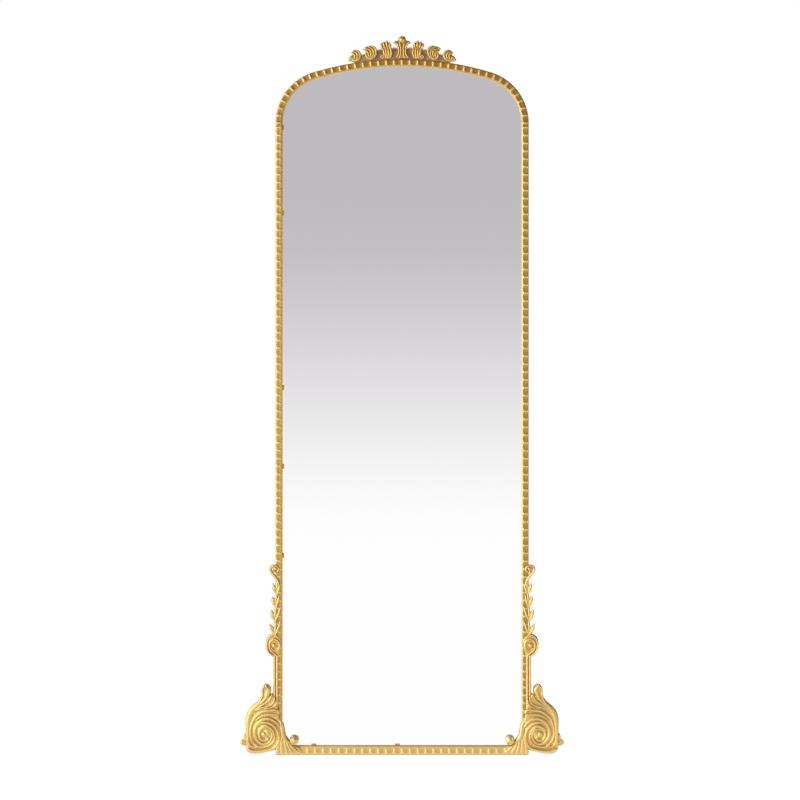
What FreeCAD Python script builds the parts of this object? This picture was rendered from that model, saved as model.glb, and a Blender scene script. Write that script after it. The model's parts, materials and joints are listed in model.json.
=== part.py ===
import FreeCAD, Part
import math
import os

# Arched floor mirror in a narrow gilt frame. Sizes in mm. +Z is up, the glass faces -Y, x = 0 is
# the centre line, z = 0 the floor and y = 0 the middle of the frame's depth.

V = FreeCAD.Vector
UP = V(0, 0, 1)
ACROSS = V(1, 0, 0)
BACKWARD = V(0, 1, 0)
ORIGIN = V(0, 0, 0)

# ---- frame
HALF_WIDTH = 375.7       # centre line to the outer edge of the stiles
CROWN_Z = 2065.0         # floor to the top of the frame, under the crest
CROWN_R = 910.0          # outer edge of the wide arc of the head
SHOULDER_R = 158.0       # outer edge of the two small arcs of the head
FACE = 20.5              # width of the face on the stiles and the head
RAIL_FACE = 26.5         # height of the face on the foot rail
DEPTH = 26.0             # front face to back face of the frame
FLANGE_T = 6.0           # thickness of the face in front of the glass
WALL = 10.5              # thickness of the frame's outer wall
ARCH_LEG = 12.0          # straight end of the head piece, below its arcs
FOOT_T = 1.5             # non-slip strip under the frame
FOOT_INSET = 3.0         # strip's edge inside the frame's edge

# ---- edge moulding
BEAD_T = 4.0             # thickness of the moulding on the face
CELL_PITCH = 23.4        # from one scooped cell to the next
RIDGE_W = 5.0            # raised bar between two cells
CELL_W = 14.0            # cell across the moulding
CELL_DEPTH = 2.5
CELL_CORNER_R = 6.0      # rounded inner end of a cell
RIM_W = 2.0              # outer rim beside the cells
RAIL_RIM_W = 3.5         # the same on the foot rail

# ---- glass and back
CUSHION_T = 0.6          # felt between face and glass
GLASS_T = 4.0
FILM_T = 0.2             # coating and shatter film behind the glass
BOARD_T = 5.0
GLASS_GAP = 1.5          # glass edge to the frame's wall
CUSHION_SET = 2.0        # felt's edge to the wall
CUSHION_HIDE = 1.0       # felt's edge behind the edge of the face
BLOCK_L = 60.0           # setting blocks under the glass
BLOCK_X = 190.0
TAB_L = 14.5             # small tabs at the sight edge
TAB_REACH = 5.0
TAB_T = 3.0
TAB_UP = (592.0, 857.0, 1091.0)      # lower tabs, above the floor
TAB_DOWN = (254.0, 0.0)              # upper tabs, below the springing of the head
TAB_X = (-262.0, -14.0)
BATTEN_H = 60.0
BATTEN_LAP = 6.0         # thickness of the batten's end over the frame's back
BATTEN_GAP = 1.0         # batten's body to the wall
BATTEN_INSET = 2.0       # batten's end inside the frame's edge
LOWER_BATTEN_UP = 330.0  # middle of the lower batten above the floor
UPPER_BATTEN_DOWN = 223.0    # middle of the upper batten below the springing of the head

# ---- fixings
SCREW_R = 1.5
SCREW_HEAD_R = 3.2
SCREW_HEAD_H = 1.8
SCREW_SLOT_W = 0.8
SCREW_SLOT_D = 0.9
SCREW_GAP = 0.15         # screw to its hole
SCREW_L = 9.0            # shank in the frame, below the plate
PLATE_T = 1.5            # corner and splice plates
PLATE_W = 6.5
PLATE_SET = 2.2          # plate's edge inside the frame's edge
CORNER_ARM = 60.0
SPLICE_ARM = 28.0
CLIP_T = 1.2
CLIP_W = 14.0
CLIP_REACH = 22.0        # frame's edge to the tip of the clip on the board
CLIP_OFF_BATTEN = 160.0  # lowest clip below the lower batten
CLIP_X = 180.0
CLIP_ON_ARCH = (0.10, 0.30, 0.42, 0.58, 0.70, 0.90)   # shares of the way round the head
BUMPER_T = 8.0
BUMPER_L = 30.0
BUMPER_W = 8.5
BUMPER_ON_ARCH = (0.20, 0.80)
BUMPER_IN = 105.7        # frame's outer edge to the middle of a side bumper

# ---- hangers on the upper batten
HANGER_IN = 125.7        # frame's outer edge to the middle of a hanger
STRAP_W = 16.0
STRAP_L = 62.0
STRAP_T = 1.5
EYE_WALL = 1.7
RING_WIRE_R = 1.5
RING_GAP = 0.08          # ring wire to the eye's bore
RING_IN_W = 24.0
RING_DROP = 22.0         # eye's axis to the middle of the wire at the bow
RING_CORNER_R = 4.0
STRAP_HOLES = (32.0, 50.0)   # below the eye's axis

# ---- castings
CAST_T = 9.0             # body of the corner castings
CAST_BACK_T = 14.0       # how far the corner scroll's body goes back beside the stile
RIB_T = 5.0              # ribs above the body
SMALL_T = 4.0            # body of the castings on the stile
CREST_T = 8.0
WEB_T = 8.0              # dull web behind the crest
LINK_T = 6.0
BRACKET_T = 3.0          # steel plate that carries the corner scroll
BRACKET_REACH = 62.0
BRACKET_LOW = 26.0
BRACKET_HIGH = 126.0
BRACKET_SCREWS = ((14.0, 112.0), (14.0, 40.0), (50.0, 76.0))
BRACKET_SCREW_L = 8.0
STEM_LOW = 140.0
STEM_HIGH = 296.0
STEM_MIDDLE = (-4.7, 3.3)    # the two reeds, outward from the frame's outer edge
STEM_R = 4.2
VOLUTE_AT = (4.3, 323.5)
VOLUTE_RING_R = 15.5
VOLUTE_WIRE_R = 5.0
VOLUTE_EYE_R = 8.5
HOOK_AT = (3.3, 552.5)
HOOK_R = 12.0
HOOK_WIRE_R = 4.3
BALL_AT = (-55.5, 44.5)
BALL_R = 13.5
BUD_ABOVE = 57.0         # middle of the crest's bud above the frame's top
BUD_R = 12.0
CURL_AT = (59.0, 6.0)    # small curl at the foot of the crest's inner leaf
CURL_R = 6.0
CREST_SCREWS = ((0.0, 20.0), (44.0, 17.0), (91.0, 14.0), (133.0, 7.0))
CREST_SCREW_L = 5.0

# ---- worked out from the sizes above
FRONT = -DEPTH / 2
BACK = DEPTH / 2
BEAD_Y = FRONT - BEAD_T
GLASS_Y = FRONT + FLANGE_T + CUSHION_T
FILM_Y = GLASS_Y + GLASS_T
BOARD_Y = FILM_Y + FILM_T
BOARD_BACK_Y = BOARD_Y + BOARD_T
BATTEN_BACK_Y = BACK + BATTEN_LAP
RAIL_TOP = FOOT_T + RAIL_FACE
RAIL_WALL_TOP = FOOT_T + WALL
GLASS_LOW = RAIL_WALL_TOP + GLASS_GAP
CROWN_MID_Z = CROWN_Z - CROWN_R
SHOULDER_X = HALF_WIDTH - SHOULDER_R
SHOULDER_Z = CROWN_MID_Z + math.sqrt((CROWN_R - SHOULDER_R) ** 2 - SHOULDER_X ** 2)
MEET_ANGLE = math.asin(SHOULDER_X / (CROWN_R - SHOULDER_R))   # from upright, where the arcs meet
JOINT_Z = SHOULDER_Z - ARCH_LEG
UPPER_BATTEN_Z = JOINT_Z - UPPER_BATTEN_DOWN
MIDDLE_BATTEN_Z = (LOWER_BATTEN_UP + UPPER_BATTEN_Z) / 2
BATTEN_Z = {"lower_batten": LOWER_BATTEN_UP, "middle_batten": MIDDLE_BATTEN_Z,
            "upper_batten": UPPER_BATTEN_Z}
CLIP_Z = (LOWER_BATTEN_UP - CLIP_OFF_BATTEN, (LOWER_BATTEN_UP + MIDDLE_BATTEN_Z) / 2,
          (MIDDLE_BATTEN_Z + UPPER_BATTEN_Z) / 2)
TAB_Z = TAB_UP + tuple(JOINT_Z - down for down in TAB_DOWN)
HOLE_R = SCREW_R + SCREW_GAP
EYE_R = RING_WIRE_R + RING_GAP + EYE_WALL
EYE_Y = BATTEN_BACK_Y + EYE_R
HANGER_X = HALF_WIDTH - HANGER_IN
HANGER_Z = UPPER_BATTEN_Z + STRAP_L / 2 - EYE_R
BUMPER_X = HALF_WIDTH - BUMPER_IN


# ---------------------------------------------------------------- helpers

def save(name, shape):
    shape.exportStep("parts/" + name + ".step")


def box(x0, x1, y0, y1, z0, z1):
    return Part.makeBox(x1 - x0, y1 - y0, z1 - z0, V(x0, y0, z0))


def rod(radius, x, z, y0, y1):
    """Round bar along Y."""
    return Part.makeCylinder(radius, y1 - y0, V(x, y0, z), BACKWARD)


def group(shapes):
    return Part.makeCompound(shapes)


def mirrored(shape):
    return shape.mirror(ORIGIN, ACROSS)


def fused(first, others):
    for other in others:
        first = first.fuse(other)
    return first.removeSplitter()


def place(shape, x, z, outward):
    """Turns a piece drawn with +X pointing out of the frame to point along `outward` degrees."""
    moved = shape.copy()
    moved.rotate(ORIGIN, BACKWARD, -outward)
    moved.translate(V(x, 0, z))
    return moved


def run_edge(points):
    if len(points) == 2:
        return Part.LineSegment(points[0], points[1]).toShape()
    curve = Part.BSplineCurve()
    curve.interpolate(points)
    return curve.toShape()


def slab(runs, datum, y_back, y_front):
    """Plate whose outline is made of smooth runs that meet at corners; points are (out, up)."""
    edges = []
    for run in runs:
        edges.append(run_edge([V(datum[0] + out, y_back, datum[1] + up) for out, up in run]))
    return Part.Face(Part.Wire(edges)).extrude(V(0, y_front - y_back, 0))


def rib(points, width, tip_width, datum, y_back, y_front, steps=9):
    """Raised strip along the smooth curve through the points, tapered towards its tip."""
    curve = Part.BSplineCurve()
    curve.interpolate([V(datum[0] + out, y_back, datum[1] + up) for out, up in points])
    left = []
    right = []
    for i in range(steps + 1):
        share = i / steps
        at = curve.FirstParameter + share * (curve.LastParameter - curve.FirstParameter)
        middle = curve.value(at)
        along = curve.tangent(at)[0]
        side = V(-along.z, 0, along.x) * ((width + (tip_width - width) * share) / 2)
        left.append(middle + side)
        right.append(middle - side)
    right.reverse()
    edges = [run_edge(left), run_edge([left[-1], right[0]]),
             run_edge(right), run_edge([right[-1], left[0]])]
    return Part.Face(Part.Wire(edges)).extrude(V(0, y_front - y_back, 0))


def largest(shape):
    """The biggest solid of a cut shape, without the splinters beside it."""
    return max(shape.Solids, key=lambda solid: solid.Volume)


def trimmed_back(shape, y_limit, reach=200.0):
    """Cuts off what lies behind y_limit."""
    middle = shape.BoundBox.Center
    return shape.cut(box(middle.x - reach, middle.x + reach, y_limit, y_limit + reach,
                         middle.z - reach, middle.z + reach))


# ---------------------------------------------------------------- the arched outline

def on_circle(mid_x, mid_z, radius, angle):
    return V(mid_x + radius * math.cos(angle), 0, mid_z + radius * math.sin(angle))


def arc(mid_x, mid_z, radius, start, end):
    points = [on_circle(mid_x, mid_z, radius, a) for a in (start, (start + end) / 2, end)]
    return Part.Arc(*points).toShape()


def arched(inset, low, y0, y1):
    """Solid with the frame's arched outline, drawn in by `inset`, from z = low up."""
    half = HALF_WIDTH - inset
    shoulder = SHOULDER_R - inset
    meet = math.pi / 2 - MEET_ANGLE
    right = on_circle(SHOULDER_X, SHOULDER_Z, shoulder, 0)
    left = V(-right.x, 0, right.z)
    edges = [
        Part.LineSegment(V(half, 0, low), right).toShape(),
        arc(SHOULDER_X, SHOULDER_Z, shoulder, 0, meet),
        arc(0, CROWN_MID_Z, CROWN_R - inset, meet, math.pi - meet),
        arc(-SHOULDER_X, SHOULDER_Z, shoulder, math.pi - meet, math.pi),
        Part.LineSegment(left, V(-half, 0, low)).toShape(),
        Part.LineSegment(V(-half, 0, low), V(half, 0, low)).toShape(),
    ]
    solid = Part.Face(Part.Wire(edges)).extrude(V(0, y1 - y0, 0))
    solid.translate(V(0, y0, 0))
    return solid


def arch_place(share):
    """Point on the head's outer edge and its outward angle, `share` of the way round."""
    bend = math.pi / 2 - MEET_ANGLE
    lengths = [ARCH_LEG, SHOULDER_R * bend, 2 * CROWN_R * MEET_ANGLE, SHOULDER_R * bend, ARCH_LEG]
    way = share * sum(lengths)
    if way < lengths[0]:
        return HALF_WIDTH, JOINT_Z + way, 0.0
    way -= lengths[0]
    if way < lengths[1]:
        angle = way / SHOULDER_R
        point = on_circle(SHOULDER_X, SHOULDER_Z, SHOULDER_R, angle)
        return point.x, point.z, math.degrees(angle)
    way -= lengths[1]
    if way < lengths[2]:
        angle = bend + way / CROWN_R
        point = on_circle(0, CROWN_MID_Z, CROWN_R, angle)
        return point.x, point.z, math.degrees(angle)
    x, z, angle = arch_place(1 - share)
    return -x, z, 180.0 - angle


def arch_length():
    bend = math.pi / 2 - MEET_ANGLE
    return 2 * (ARCH_LEG + SHOULDER_R * bend + CROWN_R * MEET_ANGLE)


# ---------------------------------------------------------------- screws

def screw(x, z, seat_y, length):
    """Slotted pan-head screw from the back, its head on the plane y = seat_y."""
    head = rod(SCREW_HEAD_R, x, z, seat_y, seat_y + SCREW_HEAD_H)
    slot = box(x - SCREW_HEAD_R, x + SCREW_HEAD_R, seat_y + SCREW_HEAD_H - SCREW_SLOT_D,
               seat_y + SCREW_HEAD_H, z - SCREW_SLOT_W / 2, z + SCREW_SLOT_W / 2)
    return head.cut(slot).fuse(rod(SCREW_R, x, z, seat_y - length, seat_y))


def screw_hole(x, z, y0, y1):
    return rod(HOLE_R, x, z, y0, y1)


def drilled(shape, spots, y0, y1):
    """Shape with a screw hole from y0 to y1 at each (x, z) spot."""
    return shape.cut([screw_hole(x, z, y0, y1) for x, z in spots])


def both_sides(spots):
    return [(x, z) for x, z in spots] + [(-x, z) for x, z in spots]


PLATE_MID = PLATE_SET + PLATE_W / 2       # screw line of the plates, inside the frame's edge


def corner_spots():
    """Screws of the corner plate at the right foot: two in the stile, two in the rail."""
    x = HALF_WIDTH - PLATE_MID
    z = FOOT_T + PLATE_MID
    return [(x, z + 0.4 * CORNER_ARM), (x, z + 0.8 * CORNER_ARM),
            (x - 0.4 * CORNER_ARM, z), (x - 0.8 * CORNER_ARM, z)]


def splice_spots():
    x = HALF_WIDTH - PLATE_MID
    return [(x, JOINT_Z + share * SPLICE_ARM) for share in (-0.8, -0.35, 0.35, 0.8)]


def batten_spots(name):
    x = HALF_WIDTH - PLATE_MID
    return both_sides([(x, BATTEN_Z[name] + step * BATTEN_H / 4) for step in (-1, 1)])


def clip_places():
    """Where the board clips sit: point on the frame's outer edge and its outward angle."""
    places = []
    for z in CLIP_Z:
        places += [(HALF_WIDTH, z, 0.0), (-HALF_WIDTH, z, 180.0)]
    for x in (-CLIP_X, CLIP_X):
        places.append((x, FOOT_T, -90.0))
    for share in CLIP_ON_ARCH:
        places.append(arch_place(share))
    return places


def spot_inside(x, z, outward, inside):
    angle = math.radians(outward)
    return x - inside * math.cos(angle), z - inside * math.sin(angle)


def clip_spots():
    return [spot_inside(x, z, outward, PLATE_MID) for x, z, outward in clip_places()]


# ---------------------------------------------------------------- frame

def frame_holes(shape):
    """Frame member with the blind holes of every screw that reaches it."""
    spots = both_sides(corner_spots()) + both_sides(splice_spots()) + clip_spots()
    for name in BATTEN_Z:
        spots += batten_spots(name)
    bounds = shape.BoundBox
    near = [(x, z) for x, z in spots
            if bounds.XMin < x < bounds.XMax and bounds.ZMin < z < bounds.ZMax]
    return drilled(shape, near, BACK - SCREW_L - SCREW_GAP, BACK)


def right_stile():
    face = box(HALF_WIDTH - FACE, HALF_WIDTH, FRONT, FRONT + FLANGE_T, FOOT_T, JOINT_Z)
    wall = box(HALF_WIDTH - WALL, HALF_WIDTH, FRONT + FLANGE_T, BACK, FOOT_T, JOINT_Z)
    return frame_holes(face.fuse(wall))


def bottom_rail():
    half_face = HALF_WIDTH - FACE
    half_wall = HALF_WIDTH - WALL
    face = box(-half_face, half_face, FRONT, FRONT + FLANGE_T, FOOT_T, RAIL_TOP)
    wall = box(-half_wall, half_wall, FRONT + FLANGE_T, BACK, FOOT_T, RAIL_WALL_TOP)
    return frame_holes(face.fuse(wall))


def top_arch():
    face = arched(0, JOINT_Z, FRONT, FRONT + FLANGE_T).cut(
        arched(FACE, JOINT_Z, FRONT, FRONT + FLANGE_T))
    wall = arched(0, JOINT_Z, FRONT + FLANGE_T, BACK).cut(
        arched(WALL, JOINT_Z, FRONT + FLANGE_T, BACK))
    return frame_holes(face.fuse(wall))


def foot_strip():
    half = HALF_WIDTH - FOOT_INSET
    return box(-half, half, FRONT + FOOT_INSET, BACK - FOOT_INSET, 0, FOOT_T)


# ---------------------------------------------------------------- edge moulding

def cell_cutter(rim):
    """Pocket of one cell, drawn with +X out of the frame and the frame's edge at x = 0."""
    out = -rim
    inner = -(rim + CELL_W)
    half = (CELL_PITCH - RIDGE_W) / 2
    r = CELL_CORNER_R
    k = r * (1 - math.sqrt(0.5))
    corners = [(out, -half), (out, half), (inner + r, half), (inner, half - r),
               (inner, r - half), (inner + r, -half)]
    p = [V(x, BEAD_Y, z) for x, z in corners]
    edges = [
        Part.LineSegment(p[0], p[1]).toShape(),
        Part.LineSegment(p[1], p[2]).toShape(),
        Part.Arc(p[2], V(inner + k, BEAD_Y, half - k), p[3]).toShape(),
        Part.LineSegment(p[3], p[4]).toShape(),
        Part.Arc(p[4], V(inner + k, BEAD_Y, k - half), p[5]).toShape(),
        Part.LineSegment(p[5], p[0]).toShape(),
    ]
    return Part.Face(Part.Wire(edges)).extrude(V(0, CELL_DEPTH, 0))


def with_cells(strip, places, rim):
    cutter = cell_cutter(rim)
    return strip.cut([place(cutter, x, z, outward) for x, z, outward in places])


def bead_right():
    strip = box(HALF_WIDTH - FACE, HALF_WIDTH, BEAD_Y, FRONT, FOOT_T, JOINT_Z)
    count = int((JOINT_Z - FOOT_T) / CELL_PITCH)
    places = [(HALF_WIDTH, JOINT_Z - (i + 0.5) * CELL_PITCH, 0.0) for i in range(count)]
    return with_cells(strip, places, RIM_W)


def bead_top():
    strip = arched(0, JOINT_Z, BEAD_Y, FRONT).cut(arched(FACE, JOINT_Z, BEAD_Y, FRONT))
    count = 2 * int(arch_length() / CELL_PITCH / 2)
    places = [arch_place((i + 0.5) / count) for i in range(count)]
    return with_cells(strip, places, RIM_W)


def bead_bottom():
    half = HALF_WIDTH - FACE
    strip = box(-half, half, BEAD_Y, FRONT, FOOT_T, RAIL_TOP)
    count = 2 * int(half / CELL_PITCH)
    places = [((i + 0.5 - count / 2) * CELL_PITCH, FOOT_T, -90.0) for i in range(count)]
    return with_cells(strip, places, RAIL_RIM_W)


# ---------------------------------------------------------------- glass and back

def sheet(y0, y1):
    """Arched sheet that fills the rebate."""
    return arched(WALL + GLASS_GAP, GLASS_LOW, y0, y1)


def glass_cushion():
    outer = arched(WALL + CUSHION_SET, RAIL_WALL_TOP + CUSHION_SET, FRONT + FLANGE_T, GLASS_Y)
    inner = arched(FACE - CUSHION_HIDE, RAIL_TOP - CUSHION_HIDE, FRONT + FLANGE_T, GLASS_Y)
    return outer.cut(inner)


def setting_blocks():
    return group([box(x - BLOCK_L / 2, x + BLOCK_L / 2, GLASS_Y, FILM_Y, RAIL_WALL_TOP, GLASS_LOW)
                  for x in (-BLOCK_X, BLOCK_X)])


def glass_tabs():
    sight = HALF_WIDTH - FACE
    on_side = [box(-sight, TAB_REACH - sight, GLASS_Y - TAB_T, GLASS_Y, z - TAB_L / 2, z + TAB_L / 2)
               for z in TAB_Z]
    on_foot = [box(x - TAB_L / 2, x + TAB_L / 2, GLASS_Y - TAB_T, GLASS_Y, RAIL_TOP,
                   RAIL_TOP + TAB_REACH) for x in TAB_X]
    return group(on_side + on_foot)


def batten(name):
    middle = BATTEN_Z[name]
    low = middle - BATTEN_H / 2
    high = middle + BATTEN_H / 2
    half_body = HALF_WIDTH - WALL - BATTEN_GAP
    half_lap = HALF_WIDTH - BATTEN_INSET
    body = box(-half_body, half_body, BOARD_BACK_Y, BATTEN_BACK_Y, low, high)
    lap = box(-half_lap, half_lap, BACK, BATTEN_BACK_Y, low, high)
    solid = drilled(body.fuse(lap), batten_spots(name), BACK, BATTEN_BACK_Y)
    if name == "upper_batten":
        solid = drilled(solid, hanger_spots(), BATTEN_BACK_Y - SCREW_L, BATTEN_BACK_Y)
    return solid.removeSplitter()


def clip():
    """Z-shaped spring clip, drawn with +X out of the frame and the frame's edge at x = 0."""
    leg = -(WALL + GLASS_GAP / 2)
    top = BACK + CLIP_T
    foot = BOARD_BACK_Y + CLIP_T
    corners = [(-PLATE_SET, BACK), (-PLATE_SET, top), (leg - CLIP_T, top), (leg - CLIP_T, foot),
               (-CLIP_REACH, foot), (-CLIP_REACH, BOARD_BACK_Y), (leg, BOARD_BACK_Y), (leg, BACK)]
    points = [V(x, y, -CLIP_W / 2) for x, y in corners]
    points.append(points[0])
    solid = Part.Face(Part.makePolygon(points)).extrude(V(0, 0, CLIP_W))
    return drilled(solid, [(-PLATE_MID, 0)], BACK, top)


def board_clips():
    return group([place(clip(), x, z, outward) for x, z, outward in clip_places()])


def wall_bumpers():
    pad = box(-PLATE_SET / 2 - BUMPER_W, -PLATE_SET / 2, BACK, BACK + BUMPER_T,
              -BUMPER_L / 2, BUMPER_L / 2)
    places = [arch_place(share) for share in BUMPER_ON_ARCH]
    places += [(x, FOOT_T, -90.0) for x in (-BUMPER_X, BUMPER_X)]
    return group([place(pad, x, z, outward) for x, z, outward in places])


# ---------------------------------------------------------------- plates and their screws

def corner_bracket_right():
    outer = HALF_WIDTH - PLATE_SET
    low = FOOT_T + PLATE_SET
    upright = box(outer - PLATE_W, outer, BACK, BACK + PLATE_T, low, low + CORNER_ARM)
    level = box(outer - CORNER_ARM, outer, BACK, BACK + PLATE_T, low, low + PLATE_W)
    return drilled(upright.fuse(level).removeSplitter(), corner_spots(), BACK, BACK + PLATE_T)


def splice_plate_right():
    outer = HALF_WIDTH - PLATE_SET
    plate = box(outer - PLATE_W, outer, BACK, BACK + PLATE_T, JOINT_Z - SPLICE_ARM,
                JOINT_Z + SPLICE_ARM)
    return drilled(plate, splice_spots(), BACK, BACK + PLATE_T)


def plate_screws():
    spots = both_sides(corner_spots()) + both_sides(splice_spots())
    return group([screw(x, z, BACK + PLATE_T, PLATE_T + SCREW_L) for x, z in spots])


def batten_screws():
    spots = [spot for name in BATTEN_Z for spot in batten_spots(name)]
    return group([screw(x, z, BATTEN_BACK_Y, BATTEN_LAP + SCREW_L) for x, z in spots])


def clip_screws():
    return group([screw(x, z, BACK + CLIP_T, CLIP_T + SCREW_L) for x, z in clip_spots()])


# ---------------------------------------------------------------- hangers

def hanger_spots():
    return [(side * HANGER_X, HANGER_Z - drop) for side in (-1, 1) for drop in STRAP_HOLES]


def hanger_plate(x):
    """Strap with a rolled eye at its top."""
    bore_r = RING_WIRE_R + RING_GAP
    low = HANGER_Z + EYE_R - STRAP_L
    strap = box(x - STRAP_W / 2, x + STRAP_W / 2, BATTEN_BACK_Y, BATTEN_BACK_Y + STRAP_T,
                low, HANGER_Z)
    eye = Part.makeCylinder(EYE_R, STRAP_W, V(x - STRAP_W / 2, EYE_Y, HANGER_Z), ACROSS)
    bore = Part.makeCylinder(bore_r, STRAP_W, V(x - STRAP_W / 2, EYE_Y, HANGER_Z), ACROSS)
    return drilled(strap.fuse(eye).cut(bore), hanger_spots(), BATTEN_BACK_Y,
                   BATTEN_BACK_Y + STRAP_T)


def hanger_ring(x):
    """D-shaped wire ring, hanging down from the eye."""
    half = RING_IN_W / 2 + RING_WIRE_R
    r = RING_CORNER_R
    k = r * (1 - math.sqrt(0.5))
    bow = HANGER_Z - RING_DROP + half

    def at(dx, z):
        return V(x + dx, EYE_Y, z)
    top = HANGER_Z
    edges = [
        Part.LineSegment(at(0, top), at(half - r, top)).toShape(),
        Part.Arc(at(half - r, top), at(half - k, top - k), at(half, top - r)).toShape(),
        Part.LineSegment(at(half, top - r), at(half, bow)).toShape(),
        Part.Arc(at(half, bow), at(0, bow - half), at(-half, bow)).toShape(),
        Part.LineSegment(at(-half, bow), at(-half, top - r)).toShape(),
        Part.Arc(at(-half, top - r), at(k - half, top - k), at(r - half, top)).toShape(),
        Part.LineSegment(at(r - half, top), at(0, top)).toShape(),
    ]
    section = Part.Wire(Part.makeCircle(RING_WIRE_R, at(0, top), ACROSS))
    return Part.Wire(edges).makePipeShell([section], True, False)


def hanger_screws():
    return group([screw(x, z, BATTEN_BACK_Y + STRAP_T, STRAP_T + SCREW_L - SCREW_GAP)
                  for x, z in hanger_spots()])


# ---------------------------------------------------------------- corner castings
# Points are (outward from the frame's outer edge, up from the floor), drawn for the right side.

SEAM = [(-14.5, 104), (-13.5, 85), (-14.5, 65), (-13, 45), (-7.5, 30), (0, 17)]
EDGE = (HALF_WIDTH, 0.0)

SCROLL_OUTLINE = [
    [(0, 17), (9.5, 13.5), (24, 10), (39, 6.5), (54, 5), (69, 5.5), (80, 10), (86.5, 18),
     (87.5, 28), (86.5, 60), (87.5, 90), (86, 112), (82, 126), (75.5, 137), (66.5, 147),
     (55, 157), (45.5, 168), (41.5, 180), (41.5, 192), (39, 202), (32.5, 210), (25, 212),
     (17.5, 206), (13, 198), (12.5, 190)],
    [(12.5, 190), (15, 182), (16, 178)],
    [(16, 178), (13.5, 182), (10.5, 184.5)],
    [(10.5, 184.5), (5, 177), (1, 168), (-4, 156), (-8, 142), (-10.5, 128), (-11.5, 114),
     (-14.5, 104)],
    SEAM,
]
SCROLL_EYE = (36.0, 64.0)
SCROLL_EYE_R = 9.0
SCROLL_TURN_R = (12.0, 22.0, 31.0, 26.0, 28.0, 43.0, 47.5, 46.0)   # at each quarter turn
SCROLL_TOE = (70.0, 13.0)
COIL_W = 6.5
COIL_STEP = 4            # eighth turns in one stretch of the coil's rib
SCROLL_RIBS = [
    # path, width at its start, width at its tip
    ([(14, 132), (36, 128), (61, 108), (73, 80), (71, 50), (62, 36)], 6.5, 3.0),
    ([(16, 120), (42, 114), (61, 88), (64, 60), (50, 38), (28, 34)], 6.0, 3.5),
    ([(4, 52), (8, 38), (22, 27), (46, 24), (66, 28)], 5.0, 3.0),
    ([(70, 128), (48, 150), (30, 172), (27, 190), (30, 205)], 8.0, 4.0),
    ([(54, 138), (34, 146), (18, 162), (12, 178)], 7.0, 3.0),
]

ACANTHUS_OUTLINE = [
    [(-14.5, 104), (-21, 97), (-24, 85), (-25.5, 72), (-29, 58), (-34.5, 48), (-40.5, 41),
     (-46.5, 35)],
    [(-46.5, 35), (-54, 30), (-64, 27.5), (-73, 24)],
    [(-73, 24), (-76, 15), (-72, 6), (-64, 3)],
    [(-64, 3), (-1, 3)],
    [(-1, 3), (0, 17)],
]
ACANTHUS_RIBS = [
    ([(-20, 90), (-18, 60), (-12, 30), (-8, 6)], 4.5, 3.5),
    ([(-27, 62), (-24, 40), (-20, 22), (-19, 6)], 4.5, 3.5),
    ([(-35, 46), (-32, 30), (-30, 18), (-31, 6)], 4.5, 3.5),
    ([(-43, 36), (-43, 26), (-45, 16), (-50, 7)], 4.5, 3.5),
    ([(-50, 30), (-56, 23), (-63, 17), (-70, 15)], 4.5, 3.5),
]
BALL_STALK = [(-46, 30), (-50, 36), (-54, 44)]

SIDE_LEAF_OUTLINE = [
    [(80, 68), (91, 64.5)],
    [(91, 64.5), (94.5, 57), (94.5, 48)],
    [(94.5, 48), (100, 46), (105, 40)],
    [(105, 40), (103, 33), (97, 28.5)],
    [(97, 28.5), (80, 29)],
    [(80, 29), (80, 68)],
]


def coil_path():
    """Spiral out of the eye: it starts outward, turns up and in, and runs off along the toe."""
    points = []
    for i, radius in enumerate(SCROLL_TURN_R):
        before = SCROLL_TURN_R[max(i - 1, 0)]
        if i:
            points.append(((before + radius) / 2, (i - 0.5) * math.pi / 2))
        points.append((radius, i * math.pi / 2))
    path = [(SCROLL_EYE[0] + radius * math.cos(a), SCROLL_EYE[1] + radius * math.sin(a))
            for radius, a in points]
    return path + [SCROLL_TOE]


def corner_scroll():
    y_body = BEAD_Y - CAST_T
    y_rib = y_body - RIB_T
    body = slab(SCROLL_OUTLINE, EDGE, BEAD_Y, y_body)
    outside = slab(SCROLL_OUTLINE, EDGE, BEAD_Y + CAST_BACK_T, BEAD_Y)
    outside = outside.cut(box(0, HALF_WIDTH, BEAD_Y - 1, BACK, 0, CROWN_Z))
    ribs = [rib(path, wide, tip, EDGE, y_body + 1, y_rib) for path, wide, tip in SCROLL_RIBS]
    coil = coil_path()
    for start in range(0, len(coil) - 1, COIL_STEP):
        ribs.append(rib(coil[start:start + COIL_STEP + 1], COIL_W, COIL_W, EDGE, y_body + 1, y_rib))
    eye = Part.makeSphere(SCROLL_EYE_R, V(EDGE[0] + SCROLL_EYE[0], y_body - RIB_T / 2,
                                          SCROLL_EYE[1]))
    solid = fused(body, [outside, eye] + ribs)
    return drilled(solid, bracket_spots(), BEAD_Y, BEAD_Y + CAST_BACK_T)


def corner_acanthus(scroll):
    y_body = BEAD_Y - CAST_T
    body = slab([SEAM[::-1]] + ACANTHUS_OUTLINE, EDGE, BEAD_Y, y_body)
    ribs = [rib(path, wide, tip, EDGE, y_body + 1, y_body - RIB_T / 2)
            for path, wide, tip in ACANTHUS_RIBS]
    stalk = rib(BALL_STALK, 14.0, 10.0, EDGE, BEAD_Y, y_body)
    ball = Part.makeSphere(BALL_R, V(EDGE[0] + BALL_AT[0], y_body, BALL_AT[1]))
    return trimmed_back(fused(body, ribs + [stalk, ball]), BEAD_Y).cut(scroll)


def side_leaf(scroll):
    return slab(SIDE_LEAF_OUTLINE, EDGE, BEAD_Y + CAST_BACK_T / 2, BEAD_Y - CAST_T / 2).cut(scroll)


def bracket_spots():
    return [(EDGE[0] + out, up) for out, up in BRACKET_SCREWS]


def bracket_y():
    return BEAD_Y + CAST_BACK_T


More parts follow.
